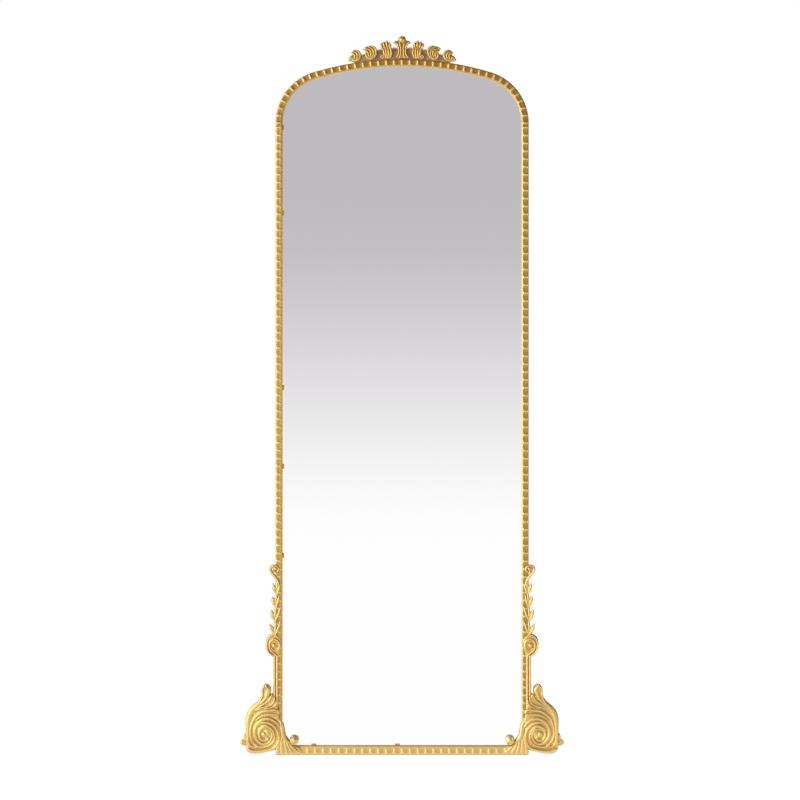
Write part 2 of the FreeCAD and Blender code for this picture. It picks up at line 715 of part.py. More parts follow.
def scroll_bracket():
    plate = box(HALF_WIDTH, HALF_WIDTH + BRACKET_REACH, bracket_y(), bracket_y() + BRACKET_T,
                BRACKET_LOW, BRACKET_HIGH)
    return drilled(plate, bracket_spots(), bracket_y(), bracket_y() + BRACKET_T)


def bracket_screws():
    one_side = [screw(x, z, bracket_y() + BRACKET_T, BRACKET_T + BRACKET_SCREW_L)
                for x, z in bracket_spots()]
    return group(one_side + [mirrored(piece) for piece in one_side])


# ---------------------------------------------------------------- castings on the stile

def stem():
    low = STEM_MIDDLE[0] - STEM_R
    high = STEM_MIDDLE[1] + STEM_R
    body = box(HALF_WIDTH + low, HALF_WIDTH + high, BEAD_Y - SMALL_T / 2, BEAD_Y,
               STEM_LOW, STEM_HIGH)
    reeds = [Part.makeCylinder(STEM_R, STEM_HIGH - STEM_LOW,
                               V(HALF_WIDTH + out, BEAD_Y - SMALL_T / 2, STEM_LOW), UP)
             for out in STEM_MIDDLE]
    return trimmed_back(fused(body, reeds), BEAD_Y)


VOLUTE_OUTLINE = [
    [(-8.9, 293), (7, 293)],
    [(7, 293), (15, 300), (23, 309), (28.5, 320), (29.5, 332), (27, 346), (21.5, 356),
     (12.5, 361.5), (4, 364)],
    [(4, 364), (-3.5, 357), (-11.5, 350), (-17, 340), (-18, 328), (-16.5, 316), (-11.5, 305),
     (-8.9, 293)],
]
VOLUTE_SHELL = [(18, 306), (25, 318), (26, 334), (22, 348), (12, 356)]


def volute():
    x = EDGE[0] + VOLUTE_AT[0]
    z = VOLUTE_AT[1]
    y = BEAD_Y - SMALL_T
    body = slab(VOLUTE_OUTLINE, EDGE, BEAD_Y, y)
    shell = rib(VOLUTE_SHELL, 4.0, 6.0, EDGE, y + 1, y - RIB_T * 0.6, 6)
    ring = Part.makeTorus(VOLUTE_RING_R, VOLUTE_WIRE_R, V(x, y, z), BACKWARD)
    eye = Part.makeSphere(VOLUTE_EYE_R, V(x, y, z))
    return trimmed_back(fused(body, [shell, ring, eye]), BEAD_Y)


HUSK_BASE_Z = (350.0, 366.0, 404.0, 444.0)
HUSK_TALL = (46.0, 72.0, 69.0, 66.0)
HUSK_SHARE = (1.0, 0.98, 0.84, 0.78)
HUSK_MIDDLE = (1.2, 0.0, -0.7, -2.0)      # outward from the frame's outer edge


def husk(middle, low, tall, share):
    """Cup of two pointed petals that open upwards; the outer one is the shorter."""
    outline = [
        [(0, 0), (8 * share, 0.22 * tall), (10 * share, 0.55 * tall), (13.5 * share, 0.86 * tall)],
        [(13.5 * share, 0.86 * tall), (6 * share, 0.80 * tall), (1 * share, 0.58 * tall)],
        [(1 * share, 0.58 * tall), (-6 * share, 0.84 * tall), (-14.5 * share, tall)],
        [(-14.5 * share, tall), (-11 * share, 0.62 * tall), (-8 * share, 0.25 * tall), (0, 0)],
    ]
    datum = (HALF_WIDTH + middle, low)
    body = slab(outline, datum, BEAD_Y, BEAD_Y - SMALL_T)
    outer = rib([(0, 0.1 * tall), (5 * share, 0.4 * tall), (11 * share, 0.8 * tall)], 6.0 * share,
                2.0, datum, BEAD_Y - SMALL_T / 2, BEAD_Y - SMALL_T - RIB_T / 2, 4)
    inner = rib([(0, 0.1 * tall), (-5 * share, 0.45 * tall), (-12 * share, 0.9 * tall)],
                6.0 * share, 2.0, datum, BEAD_Y - SMALL_T / 2, BEAD_Y - SMALL_T - RIB_T / 2, 4)
    return fused(body, [outer, inner])


def husk_chain():
    husks = [husk(*sizes) for sizes in zip(HUSK_MIDDLE, HUSK_BASE_Z, HUSK_TALL, HUSK_SHARE)]
    return fused(husks[0], husks[1:])


HOOK_STEM = [(-7.5, 500), (-6.5, 512), (-3, 525), (4, 536), (11, 545)]


def top_hook():
    x = EDGE[0] + HOOK_AT[0]
    y = BEAD_Y - SMALL_T / 2
    ring = Part.makeTorus(HOOK_R, HOOK_WIRE_R, V(x, y, HOOK_AT[1]), BACKWARD)
    eye = Part.makeSphere(HOOK_R - HOOK_WIRE_R / 2, V(x, y, HOOK_AT[1]))
    stalk = rib(HOOK_STEM, 7.0, 8.0, EDGE, BEAD_Y, BEAD_Y - SMALL_T - RIB_T / 2)
    return trimmed_back(fused(stalk, [ring, eye]), BEAD_Y)


# ---------------------------------------------------------------- crest
# Points are (outward from the centre line, up from the top of the frame).

TOP = (0.0, CROWN_Z)
CREST_BODY_Y = BEAD_Y - CREST_T
CREST_RIB_Y = CREST_BODY_Y - RIB_T * 0.8

PALMETTE_HALF = [
    [(17, 2), (15, 9), (10, 15), (9, 22), (10, 31), (13, 38), (18, 43), (26.5, 47.5)],
    [(26.5, 47.5), (21, 52.5), (15, 54), (11, 54)],
    [(11, 54), (0, 66)],
]
PALMETTE_FLUTES = [[(-9, 4), (-4, 22), (-4.5, 46)], [(0, 3), (0, 25), (0, 46)],
                   [(9, 4), (4, 22), (4.5, 46)]]
PALMETTE_LEAF = [(10, 42), (15, 49), (24, 48)]

INNER_LEAF = [
    [(33, 2), (29, 12), (29.5, 24), (32, 33), (33, 41), (36.5, 49)],
    [(36.5, 49), (41, 46.5)],
    [(41, 46.5), (45.5, 54), (50, 47.5)],
    [(50, 47.5), (55.5, 51), (59, 45)],
    [(59, 45), (64.5, 44)],
    [(64.5, 44), (62, 34), (58, 24), (57, 14), (53, 4), (44, 0), (33, 2)],
]
INNER_LEAF_RIBS = [[(37, 4), (33.5, 20), (37, 44)], [(43.5, 3), (42, 24), (45, 49)],
                   [(50, 4), (51.5, 24), (54.5, 46)], [(56, 28), (60, 38), (63, 42)]]
MIDDLE_LEAF = [
    [(93.5, -2), (84, 4), (76, 12), (73.5, 20), (76, 30), (82, 37), (90, 39.5), (99, 38),
     (108, 35), (116, 30)],
    [(116, 30), (111, 24), (107, 20)],
    [(107, 20), (110, 12), (109, 6), (105, 1)],
    [(105, 1), (99, -1.5), (93.5, -2)],
]
MIDDLE_LEAF_RIBS = [[(92, 0), (79, 17), (88, 36)], [(95, 1), (87, 18), (100, 34)],
                    [(98, 1), (95, 17), (111, 30)], [(102, 3), (103, 9), (106, 13)]]
OUTER_LEAF = [
    [(142.5, -9), (133, -5), (124, 3), (121, 11.5), (124, 20), (131, 26), (138.5, 27),
     (146, 24), (151.5, 18)],
    [(151.5, 18), (148.5, 15.5), (147, 12)],
    [(147, 12), (153, 8), (158, 2), (161, -6)],
    [(161, -6), (155, -7.5), (149, -7.5), (142.5, -9)],
]
OUTER_LEAF_RIBS = [[(140, -6), (126, 9), (135, 24)], [(143, -5), (134, 9), (144, 21)],
                   [(145, -4), (141, 7), (147, 16)], [(145, -3), (151, 0), (157, -4)]]
WEB_HALF_WIDTH = 143.0
WEB_TOP = [(WEB_HALF_WIDTH, -4), (137, 7), (121, 11), (106, 14.5), (90, 22), (75, 25),
           (67, 27), (45, 32), (34, 32), (0, 33)]
LINKS = [[(11, 30), (23, 32.5), (34, 30)], [(60, 27), (70, 26.5), (78, 25)],
         [(104, 15), (113, 13), (124, 11)]]
LINK_W = 5.0


def flipped(points):
    return [(-out, up) for out, up in points]


def crest_holes(shape):
    spots = both_sides([(out, CROWN_Z + up) for out, up in CREST_SCREWS])
    return drilled(shape, spots, BEAD_Y - CREST_SCREW_L - SCREW_GAP, BEAD_Y + WEB_T)


def crest_palmette():
    runs = PALMETTE_HALF + [flipped(run)[::-1] for run in PALMETTE_HALF[::-1]]
    runs.append([(-PALMETTE_HALF[0][0][0], 2), (PALMETTE_HALF[0][0][0], 2)])
    body = slab(runs, TOP, BEAD_Y, CREST_BODY_Y)
    flutes = [rib(path, 5.0, 4.0, TOP, CREST_BODY_Y + 1, CREST_RIB_Y, 3) for path in PALMETTE_FLUTES]
    leaves = [rib(path, 6.0, 3.0, TOP, CREST_BODY_Y + 1, CREST_RIB_Y, 4)
              for path in (PALMETTE_LEAF, flipped(PALMETTE_LEAF))]
    bud = Part.makeSphere(BUD_R, V(0, CREST_BODY_Y, CROWN_Z + BUD_ABOVE))
    return crest_holes(trimmed_back(fused(body, flutes + leaves + [bud]), BEAD_Y))


def crest_leaf(outline, rib_paths):
    body = slab(outline, TOP, BEAD_Y, CREST_BODY_Y)
    ribs = [rib(path, 5.0, 3.5, TOP, CREST_BODY_Y + 1, CREST_RIB_Y, 4) for path in rib_paths]
    return crest_holes(fused(body, ribs))


def crest_leaf_inner():
    leaf = crest_leaf(INNER_LEAF, INNER_LEAF_RIBS)
    curl = rod(CURL_R, CURL_AT[0], CROWN_Z + CURL_AT[1], CREST_BODY_Y, BEAD_Y)
    return leaf.fuse(curl)


def web_half():
    """Right half of the web: it stands on the frame's outer edge."""
    foot = CROWN_MID_Z - CROWN_Z
    runs = [WEB_TOP, [(0, 33), (0, foot)], [(0, foot), (WEB_HALF_WIDTH, foot)],
            [(WEB_HALF_WIDTH, foot), WEB_TOP[0]]]
    return slab(runs, TOP, BEAD_Y + WEB_T, BEAD_Y)


def crest_web():
    right = web_half()
    whole = right.fuse(mirrored(right)).removeSplitter()
    return crest_holes(whole.cut(arched(0, JOINT_Z - CROWN_R, BEAD_Y, BACK)))


def crest_links(neighbours):
    links = []
    for path in LINKS:
        link = rib(path, LINK_W, LINK_W, TOP, BEAD_Y, BEAD_Y - LINK_T, 4).cut(neighbours)
        links += [largest(link), mirrored(largest(link))]
    return group(links)


def crest_screws():
    spots = set(both_sides([(out, CROWN_Z + up) for out, up in CREST_SCREWS]))
    return group([screw(x, z, BEAD_Y + WEB_T, WEB_T + CREST_SCREW_L) for x, z in sorted(spots)])


# ---------------------------------------------------------------- all pieces

def save_pair(name, right):
    save(name + "_right", right)
    save(name + "_left", mirrored(right))


def main():
    os.makedirs("parts", exist_ok=True)

    stile = right_stile()
    save("right_stile", stile)
    save("left_stile", mirrored(stile))
    save("top_arch", top_arch())
    save("bottom_rail", bottom_rail())
    save("foot_strip", foot_strip())

    save_pair("bead", bead_right())
    save("bead_top", bead_top())
    save("bead_bottom", bead_bottom())

    save("glass_tabs", glass_tabs())
    save("glass_cushion", glass_cushion())
    save("mirror_glass", sheet(GLASS_Y, FILM_Y))
    save("safety_film", sheet(FILM_Y, BOARD_Y))
    save("backing_board", sheet(BOARD_Y, BOARD_BACK_Y))
    save("setting_blocks", setting_blocks())
    for name in BATTEN_Z:
        save(name, batten(name))
    save("batten_screws", batten_screws())
    save("board_clips", board_clips())
    save("clip_screws", clip_screws())
    save("wall_bumpers", wall_bumpers())

    save_pair("corner_bracket", corner_bracket_right())
    save_pair("splice_plate", splice_plate_right())
    save("plate_screws", plate_screws())

    for side, x in (("left", -HANGER_X), ("right", HANGER_X)):
        save("hanger_plate_" + side, hanger_plate(x))
        save("hanger_ring_" + side, hanger_ring(x))
    save("hanger_screws", hanger_screws())

    scroll = corner_scroll()
    acanthus = corner_acanthus(scroll)
    round_curl = volute()
    husks = husk_chain().cut(round_curl)
    save_pair("corner_scroll", scroll)
    save_pair("corner_acanthus", acanthus)
    save_pair("side_leaf", side_leaf(scroll))
    save_pair("stem", largest(stem().cut([scroll, acanthus, round_curl])))
    save_pair("volute", round_curl)
    save_pair("husk_chain", husks)
    save_pair("top_hook", top_hook().cut(husks))
    save_pair("scroll_bracket", scroll_bracket())
    save("bracket_screws", bracket_screws())

    palmette = crest_palmette()
    leaves = {"inner": crest_leaf_inner(), "middle": crest_leaf(MIDDLE_LEAF, MIDDLE_LEAF_RIBS),
              "outer": crest_leaf(OUTER_LEAF, OUTER_LEAF_RIBS)}
    save("crest_palmette", palmette)
    for name, leaf in leaves.items():
        save_pair("crest_leaf_" + name, leaf)
    save("crest_web", crest_web())
    save("crest_links", crest_links([palmette] + list(leaves.values())))
    save("crest_screws", crest_screws())


main()
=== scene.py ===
"""Arched floor mirror in a narrow gilt frame: its castings, moulding and finishes.

Everything is in metres, in the frame's own axes: +Z up, the glass faces -Y, x = 0 is the centre
line, z = 0 the floor and y = 0 the middle of the frame's depth. Points of the castings are chosen
and written in millimetres, and mm() turns them into metres."""

import json
import math

import bpy
import numpy as np
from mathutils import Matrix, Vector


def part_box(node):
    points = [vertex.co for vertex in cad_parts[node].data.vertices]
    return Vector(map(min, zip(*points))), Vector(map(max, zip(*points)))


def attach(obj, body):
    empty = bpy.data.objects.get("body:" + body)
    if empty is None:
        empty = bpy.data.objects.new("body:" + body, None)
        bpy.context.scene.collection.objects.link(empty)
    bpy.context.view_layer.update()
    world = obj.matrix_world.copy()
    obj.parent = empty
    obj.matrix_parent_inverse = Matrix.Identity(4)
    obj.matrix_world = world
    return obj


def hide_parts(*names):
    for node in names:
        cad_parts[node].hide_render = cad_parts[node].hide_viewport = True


bl_info = {
    "name": "Arched Floor Mirror",
    "version": (1, 0, 0),
    "blender": (4, 5, 0),
    "location": "View3D > Sidebar > Mirror",
    "description": "Castings, edge moulding, finishes and stage of an arched floor mirror",
    "category": "Object",
}

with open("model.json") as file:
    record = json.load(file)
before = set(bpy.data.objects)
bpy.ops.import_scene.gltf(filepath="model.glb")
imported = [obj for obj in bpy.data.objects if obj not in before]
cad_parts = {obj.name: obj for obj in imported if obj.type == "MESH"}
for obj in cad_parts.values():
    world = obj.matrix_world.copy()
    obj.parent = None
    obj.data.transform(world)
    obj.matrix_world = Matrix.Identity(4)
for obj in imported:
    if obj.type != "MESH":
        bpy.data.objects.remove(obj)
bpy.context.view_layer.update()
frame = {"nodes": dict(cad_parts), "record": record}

MM = 0.001
BODY = "mirror"

# The frame's own places: its half width, the width of its face, its foot, the springing of its
# head, its top, and the fronts of the frame and of the moulding
STILE_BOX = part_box("right_stile")
HALF_WIDTH = STILE_BOX[1].x
FACE = STILE_BOX[1].x - STILE_BOX[0].x
FOOT_Z = STILE_BOX[0].z
JOINT_Z = STILE_BOX[1].z
CROWN_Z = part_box("top_arch")[1].z
FRONT_Y = STILE_BOX[0].y
BEAD_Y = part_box("bead_right")[0].y

# The head's outer radii on the crown and the shoulders, the straight leg below each shoulder, the
# angle of a shoulder's arc, and half the length of the head's outer edge
ARCH_R = 0.910
SHOULDER_R = 0.158
ARCH_LEG = 0.012
SHOULDER_X = HALF_WIDTH - SHOULDER_R
SHOULDER_TURN = math.acos(SHOULDER_X / (ARCH_R - SHOULDER_R))
HALF_HEAD = ARCH_LEG + SHOULDER_R * SHOULDER_TURN + ARCH_R * (math.pi / 2 - SHOULDER_TURN)

# Where the castings' points are counted from: the frame's outer edge at the floor, and its top
EDGE = np.array([HALF_WIDTH, 0.0])
TOP = np.array([0.0, CROWN_Z])


# ---------------------------------------------------------------- sizes and colours

class MirrorMoulding(bpy.types.PropertyGroup):
    """Sizes of the scooped edge moulding."""

    pitch: bpy.props.FloatProperty(
        name="Cell pitch", description="From one scooped cell to the next",
        default=0.0234, unit="LENGTH")
    ridge: bpy.props.FloatProperty(
        name="Ridge width", description="Raised bar between two cells", default=0.0048,
        unit="LENGTH")
    ridge_rise: bpy.props.FloatProperty(
        name="Ridge rise", description="How far a ridge stands above the top", default=0.0009,
        unit="LENGTH")
    depth: bpy.props.FloatProperty(
        name="Cell depth", description="How deep a cell is scooped", default=0.0007, unit="LENGTH")
    cell: bpy.props.FloatProperty(
        name="Cell width", description="Cell across the moulding", default=0.0166, unit="LENGTH")
    rim: bpy.props.FloatProperty(
        name="Rim", description="Outer rim beside the cells", default=0.0008, unit="LENGTH")
    round: bpy.props.FloatProperty(
        name="Edge round", description="Width of the rounded outer and inner edges", default=0.0062,
        unit="LENGTH")
    fall: bpy.props.FloatProperty(
        name="Edge fall", description="How far a rounded edge falls below the top", default=0.0026,
        unit="LENGTH")
    foot_rim: bpy.props.FloatProperty(
        name="Foot rim", description="Rim below the cells of the foot rail", default=0.0035,
        unit="LENGTH")


class MirrorCastings(bpy.types.PropertyGroup):
    """Sizes of the castings on the frame."""

    step: bpy.props.FloatProperty(
        name="Mesh step", description="Distance between two points of a casting's surface",
        default=0.00075, unit="LENGTH")
    small_step: bpy.props.FloatProperty(
        name="Fine step", description="The same on the small castings", default=0.00048,
        unit="LENGTH")
    coarse_step: bpy.props.FloatProperty(
        name="Web step", description="The same on the crest's web", default=0.0012, unit="LENGTH")
    body: bpy.props.FloatProperty(
        name="Corner body", description="Thickness of the corner castings under their ribs",
        default=0.0085, unit="LENGTH")
    back: bpy.props.FloatProperty(
        name="Corner depth", description="How far the scroll goes back beside the stile",
        default=0.014, unit="LENGTH")
    rib: bpy.props.FloatProperty(
        name="Rib rise", description="How far the corner's ribs stand above its body",
        default=0.0038, unit="LENGTH")
    crest: bpy.props.FloatProperty(
        name="Crest body", description="Thickness of the crest's leaves under their ribs",
        default=0.0070, unit="LENGTH")


class MirrorColours(bpy.types.PropertyGroup):
    """Colours of the finishes."""

    # Painted highlight: the pale colour of the ridges, partly standing for gilding rubbed pale
    ridge: bpy.props.FloatVectorProperty(
        name="Ridge", description="Gilding rubbed pale on the ridges", subtype="COLOR",
        default=(0.92, 0.735, 0.39), min=0.0, max=1.0)
    gold: bpy.props.FloatVectorProperty(
        name="Gold", description="Gilding on the broad places", subtype="COLOR",
        default=(0.79, 0.527, 0.16), min=0.0, max=1.0)
    # Painted shade: the dark colour of the hollows, partly standing for patina
    painted_shade_and_patina: bpy.props.FloatVectorProperty(
        name="Crease", description="Darkened gilding in the hollows", subtype="COLOR",
        default=(0.40, 0.21, 0.038), min=0.0, max=1.0)
    # The web's dark brown is partly painted shade of its recess behind the leaves
    web: bpy.props.FloatVectorProperty(
        name="Web", description="Ungilded backing of the crest", subtype="COLOR",
        default=(0.30, 0.165, 0.105), min=0.0, max=1.0)
    silver: bpy.props.FloatVectorProperty(
        name="Mirror", description="Silvered glass", subtype="COLOR",
        default=(0.995, 0.995, 0.995), min=0.0, max=1.0)
    board: bpy.props.FloatVectorProperty(
        name="Board", description="Fibre board on the back", subtype="COLOR",
        default=(0.20, 0.115, 0.06), min=0.0, max=1.0)
    wood: bpy.props.FloatVectorProperty(
        name="Batten", description="Softwood battens", subtype="COLOR",
        default=(0.55, 0.36, 0.19), min=0.0, max=1.0)
    steel: bpy.props.FloatVectorProperty(
        name="Steel", description="Zinc-plated plates, clips and screws", subtype="COLOR",
        default=(0.58, 0.59, 0.60), min=0.0, max=1.0)


class MirrorStage(bpy.types.PropertyGroup):
    """The studio round the mirror."""

    distance: bpy.props.FloatProperty(
        name="Camera distance", description="Camera to the front of the frame", default=8.0,
        unit="LENGTH")
    height: bpy.props.FloatProperty(
        name="Camera height", description="Camera above the floor", default=1.0535, unit="LENGTH")
    aside: bpy.props.FloatProperty(
        name="Camera aside", description="Camera to the left of the centre line", default=0.0062,
        unit="LENGTH")
    view_width: bpy.props.FloatProperty(
        name="View width", description="Width of the view at the frame's front", default=2.373,
        unit="LENGTH")
    lamps: bpy.props.FloatProperty(
        name="Lamps", description="Strength of the three lamps", default=2.0, min=0.0)
    sky: bpy.props.FloatProperty(
        name="Sky", description="Brightness of the studio above the horizon", default=0.52,
        min=0.0, max=1.0)


SETTINGS = {"mirror_moulding": MirrorMoulding, "mirror_castings": MirrorCastings,
            "mirror_colours": MirrorColours, "mirror_stage": MirrorStage}


# ---------------------------------------------------------------- curves in the plane

def mm(points):
    """Millimetres to metres."""
    return np.array(points, float) * MM


def smooth(points, per_span=8):
    """Curve through the points: on each span the cubic whose slope at a point is half the way
    between its two neighbours."""
    p = np.array(points, float)
    if len(p) == 2:
        return p
    ends = np.vstack([2 * p[0] - p[1], p, 2 * p[-1] - p[-2]])
    t = (np.arange(per_span) / per_span)[None, :, None]
    a, b, c, d = (ends[i:len(ends) - 3 + i, None, :] for i in range(4))
    spans = b + 0.5 * t * (c - a + t * (2 * a - 5 * b + 4 * c - d + t * (3 * (b - c) + d - a)))
    return np.vstack([spans.reshape(-1, 2), p[-1:]])


def closed(runs):
    """Closed outline made of smooth runs that meet at corners."""
    return np.vstack([smooth(run)[:-1] for run in runs])


def flipped(points):
    """The same points on the other side of the centre line."""
    return np.array(points, float) * (-1, 1)


def to_path(points, path):
    """Distance from each point to the path, and how far along the path, from 0 to 1, it is met."""
    start = path[:-1]
    leg = path[1:] - start
    size = (leg ** 2).sum(1)
    share = (((points[:, None] - start) * leg).sum(2) / size).clip(0, 1)
    away = np.hypot(*np.moveaxis(points[:, None] - start - share[..., None] * leg, 2, 0))
    nearest = away.argmin(1)
    rows = np.arange(len(points))
    lengths = np.sqrt(size)
    before = np.concatenate([[0], np.cumsum(lengths)[:-1]])
    along = (before[nearest] + share[rows, nearest] * lengths[nearest]) / lengths.sum()
    return away[rows, nearest], along


def in_loop(points, loop):
    """Whether each point is inside the closed outline: a ray from it crosses an odd number of
    edges."""
    x0, z0 = loop.T
    x1, z1 = np.roll(loop, -1, axis=0).T
    x, z = points[:, :1], points[:, 1:]
    spans = (z0 > z) != (z1 > z)
    rise = np.where(z1 == z0, 1.0, z1 - z0)
    return (spans & (x < x0 + (z - z0) * (x1 - x0) / rise)).sum(1) % 2 == 1


# ---------------------------------------------------------------- reliefs
# A casting is a list of forms over the (out, up) plane, the one that stands highest at a point
# giving its surface there.

# The least height of a casting, how wide a place its hollows are measured against, and how far a
# point lies below the mean there when painted shade and patina darken its finish fully: on a broad
# casting, and on the small ones of the crest
THINNEST = 0.8 * MM
HOLLOW_REACH = 2.2 * MM
BROAD_SHADE = 2.8 * MM
FINE_SHADE = 1.7 * MM

# In mesh steps: how near the edge a point is moved onto it, from how deep the heights are softened,
# and how deep the middle of the smallest face lies. Then the least slope of the depth that counts.
TO_EDGE = 0.72
SOFT_FROM = 0.9
FACE_FROM = 0.05
LEAST_SLOPE = 0.5

# A casting's back, as its depth at distances out: flat on the moulding's front
FLAT_BACK = ((-1, 0.0), (1, 0.0))


class Form:
    """One form of a relief: the box that holds it, and at points in the box its depth inside the
    form's edge, negative outside it, and its height."""

    def __init__(self, held, margin, shape):
        self.low = held.min(0) - margin
        self.high = held.max(0) + margin
        self.shape = shape

    def __call__(self, points):
        near = ((points > self.low) & (points < self.high)).all(1)
        depth, height = np.full(len(points), -1.0), np.zeros(len(points))
        depth[near], height[near] = self.shape(points[near])
        return depth, height


def blank(outline, edge, top, roll):
    """Plate with a rolled edge: height `edge` at the outline, and a quarter ellipse up to `top`
    within `roll` of it."""
    ring = np.vstack([outline, outline[:1]])

    def shape(points):
        away = to_path(points, ring)[0]
        depth = np.where(in_loop(points, outline), away, -away)
        share = 1 - (depth / roll).clip(0, 1)
        return depth, edge + (top - edge) * np.sqrt((1 - share ** 2).clip(0, 1))
    return Form(outline, 2 * MM, shape)


def reed(points, widths, base, rise, fullness=0.85, per_span=6):
    """Half-round rib along the curve through the points. `widths` are half widths and `rise`
    heights above `base`, spread evenly along it; across it the height is
    (1 - (d / width)^2) ^ fullness."""
    path = smooth(points, per_span)
    widths, rise = np.atleast_1d(widths), np.atleast_1d(rise)

    def shape(points):
        away, along = to_path(points, path)
        wide = np.interp(along, np.linspace(0, 1, len(widths)), widths)
        high = np.interp(along, np.linspace(0, 1, len(rise)), rise)
        crown = (1 - (away / wide) ** 2).clip(0, 1) ** fullness
        return wide - away, np.where(away < wide, base + high * crown, 0.0)
    return Form(path, widths.max() + 2 * MM, shape)


def knob(centre, radii, base, rise, fullness=0.5):
    """Oval dome with radii across and up: its height is base + rise * (1 - r^2) ^ fullness, where r
    is the distance from the centre as a share of the radius."""
    def shape(points):
        away = np.hypot(*((points - centre) / radii).T)
        crown = (1 - away ** 2).clip(0, 1) ** fullness
        return (1 - away) * min(radii), np.where(away < 1, base + rise * crown, 0.0)
    return Form(np.array([centre - radii, centre + radii]), 2 * MM, shape)


def blurred(field, reach):
    """Mean of the field over a square of 2 * reach + 1 cells, from its running sums."""
    size = 2 * reach + 1
    for axis in (0, 1):
        width = [(reach + 1, reach) if a == axis else (0, 0) for a in (0, 1)]
        padded = np.pad(field, width, "edge")
        sums = np.cumsum(padded, axis=axis)
        ahead = np.take(sums, range(size, sums.shape[axis]), axis=axis)
        behind = np.take(sums, range(sums.shape[axis] - size), axis=axis)
        field = (ahead - behind) / size
    return field


def form_grid(forms, step):
    """Points of a square grid over the boxes of all the forms."""
    low = np.min([form.low for form in forms], axis=0)
    high = np.max([form.high for form in forms], axis=0)
    out, up = (np.arange(math.floor(low[k] / step), math.ceil(high[k] / step) + 1) * step
               for k in (0, 1))
    return np.stack(np.meshgrid(out, up, indexing="ij"), axis=-1)


def top_of(forms, points):
    """Greatest depth and greatest height of the forms at each point."""
    found = [form(points) for form in forms]
    return (np.max([f[0] for f in found], axis=0),
            np.maximum(np.max([f[1] for f in found], axis=0), THINNEST))


def relief(name, forms, step, back=FLAT_BACK, origin=EDGE, y_front=BEAD_Y, shade_level=0.48,
           shade=BROAD_SHADE):
    """Casting with its front modelled as heights over a grid.

    The height at a point of the grid is the greatest of the forms' heights, softened inside the
    outline by the mean of its neighbours. A point near the edge of the forms' union is moved along
    the slope of the depth until it lies on that edge, so the outline is clean. The wall goes
    straight back to `back`, a depth behind the front plane for each distance out, and the same
    grid, laid flat, closes it. A point's painted_shade_and_patina value is `shade_level` plus how
    far it lies below the mean height round it, as a share of `shade`: the finish paints shade and
    patina into the hollows and a highlight, partly rubbed gilding, on what stands above the mean."""
    grid = form_grid(forms, step)
    shape = grid.shape[:2]
    points = grid.reshape(-1, 2)
    depth, height = top_of(forms, points)
    slope = np.stack(np.gradient(depth.reshape(shape), step), axis=-1).reshape(-1, 2)
    steep = np.maximum((slope ** 2).sum(1, keepdims=True), LEAST_SLOPE ** 2)
    near = np.abs(depth) < TO_EDGE * step
    for _ in range(2):
        points[near] -= (depth[:, None] * slope / steep)[near]
        depth[near], height[near] = top_of(forms, points[near])
    kept = (near | (depth > 0)).reshape(shape)
    # A kept point's own share of its square is 1 / 9, so 0.1 only keeps the rest from 0 / 0
    share = np.maximum(blurred(kept.astype(float), 1), 0.1)
    soft = blurred(height.reshape(shape) * kept, 1) / share
    inner = depth > SOFT_FROM * step
    height[inner] = soft.ravel()[inner]
    deep = depth.reshape(shape)
    middle = (deep[:-1, :-1] + deep[1:, 1:] + deep[1:, :-1] + deep[:-1, 1:]) / 4
    cells = (kept[:-1, :-1] & kept[1:, :-1] & kept[1:, 1:] & kept[:-1, 1:]
             & (middle > FACE_FROM * step))

    field = height.reshape(shape)
    hollow = blurred(field, max(1, round(HOLLOW_REACH / step))) - field
    painted_shade_and_patina = shade_level + hollow.ravel() / shade
    index = np.arange(points.shape[0]).reshape(shape)
    i, j = np.nonzero(cells)
    quads = np.stack([index[i, j], index[i + 1, j], index[i + 1, j + 1], index[i, j + 1]], axis=1)
    used, quads = np.unique(quads, return_inverse=True)
    quads = quads.reshape(-1, 4)
    points, height, painted_shade_and_patina = points[used], height[used], painted_shade_and_patina[used]
    count = len(points)
    front = np.stack([points[:, 0] + origin[0], y_front - height, points[:, 1] + origin[1]], axis=1)
    rear = front.copy()
    rear[:, 1] = y_front + np.interp(points[:, 0], *zip(*back))
    made = closed_plate(name, front, rear, quads)
    add_painted_shade_and_patina(made, np.concatenate([painted_shade_and_patina, np.zeros(count)]))
    return made


# ---------------------------------------------------------------- meshes

def new_piece(name, points, quads):
    """Mesh object from whole arrays of points and four-sided faces, shaded smooth."""
    mesh = bpy.data.meshes.new(name)
    mesh.vertices.add(len(points))
    mesh.vertices.foreach_set("co", np.asarray(points, np.float32).ravel())
    mesh.loops.add(quads.size)
    mesh.loops.foreach_set("vertex_index", quads.astype(np.int32).ravel())
    mesh.polygons.add(len(quads))
    mesh.polygons.foreach_set("loop_start", np.arange(len(quads), dtype=np.int32) * 4)
    mesh.update(calc_edges=True)
    mesh.validate()
    mesh.shade_smooth()
    made = bpy.data.objects.new(name, mesh)
    bpy.context.scene.collection.objects.link(made)
    return made


def add_painted_shade_and_patina(piece, values):
    """How deep in painted shade each point lies, from 0 to 1, for the finish: low on a ridge for a
    painted highlight, partly rubbed gilding, and high in a hollow for painted shade with patina.
    """
    painted_shade_and_patina = piece.data.attributes.new("painted_shade_and_patina", "FLOAT", "POINT")
    painted_shade_and_patina.data.foreach_set("value", np.clip(values, 0, 1).astype(np.float32))


def twin(piece, name):
    """The same piece mirrored to the left, its faces turned so that they still point outwards."""
    mesh = piece.data.copy()
    co = np.empty(len(mesh.vertices) * 3, np.float32)
    mesh.vertices.foreach_get("co", co)
    co[0::3] *= -1
    mesh.vertices.foreach_set("co", co)
    mesh.flip_normals()
    mesh.update()
    made = bpy.data.objects.new(name, mesh)
    bpy.context.scene.collection.objects.link(made)
    return made


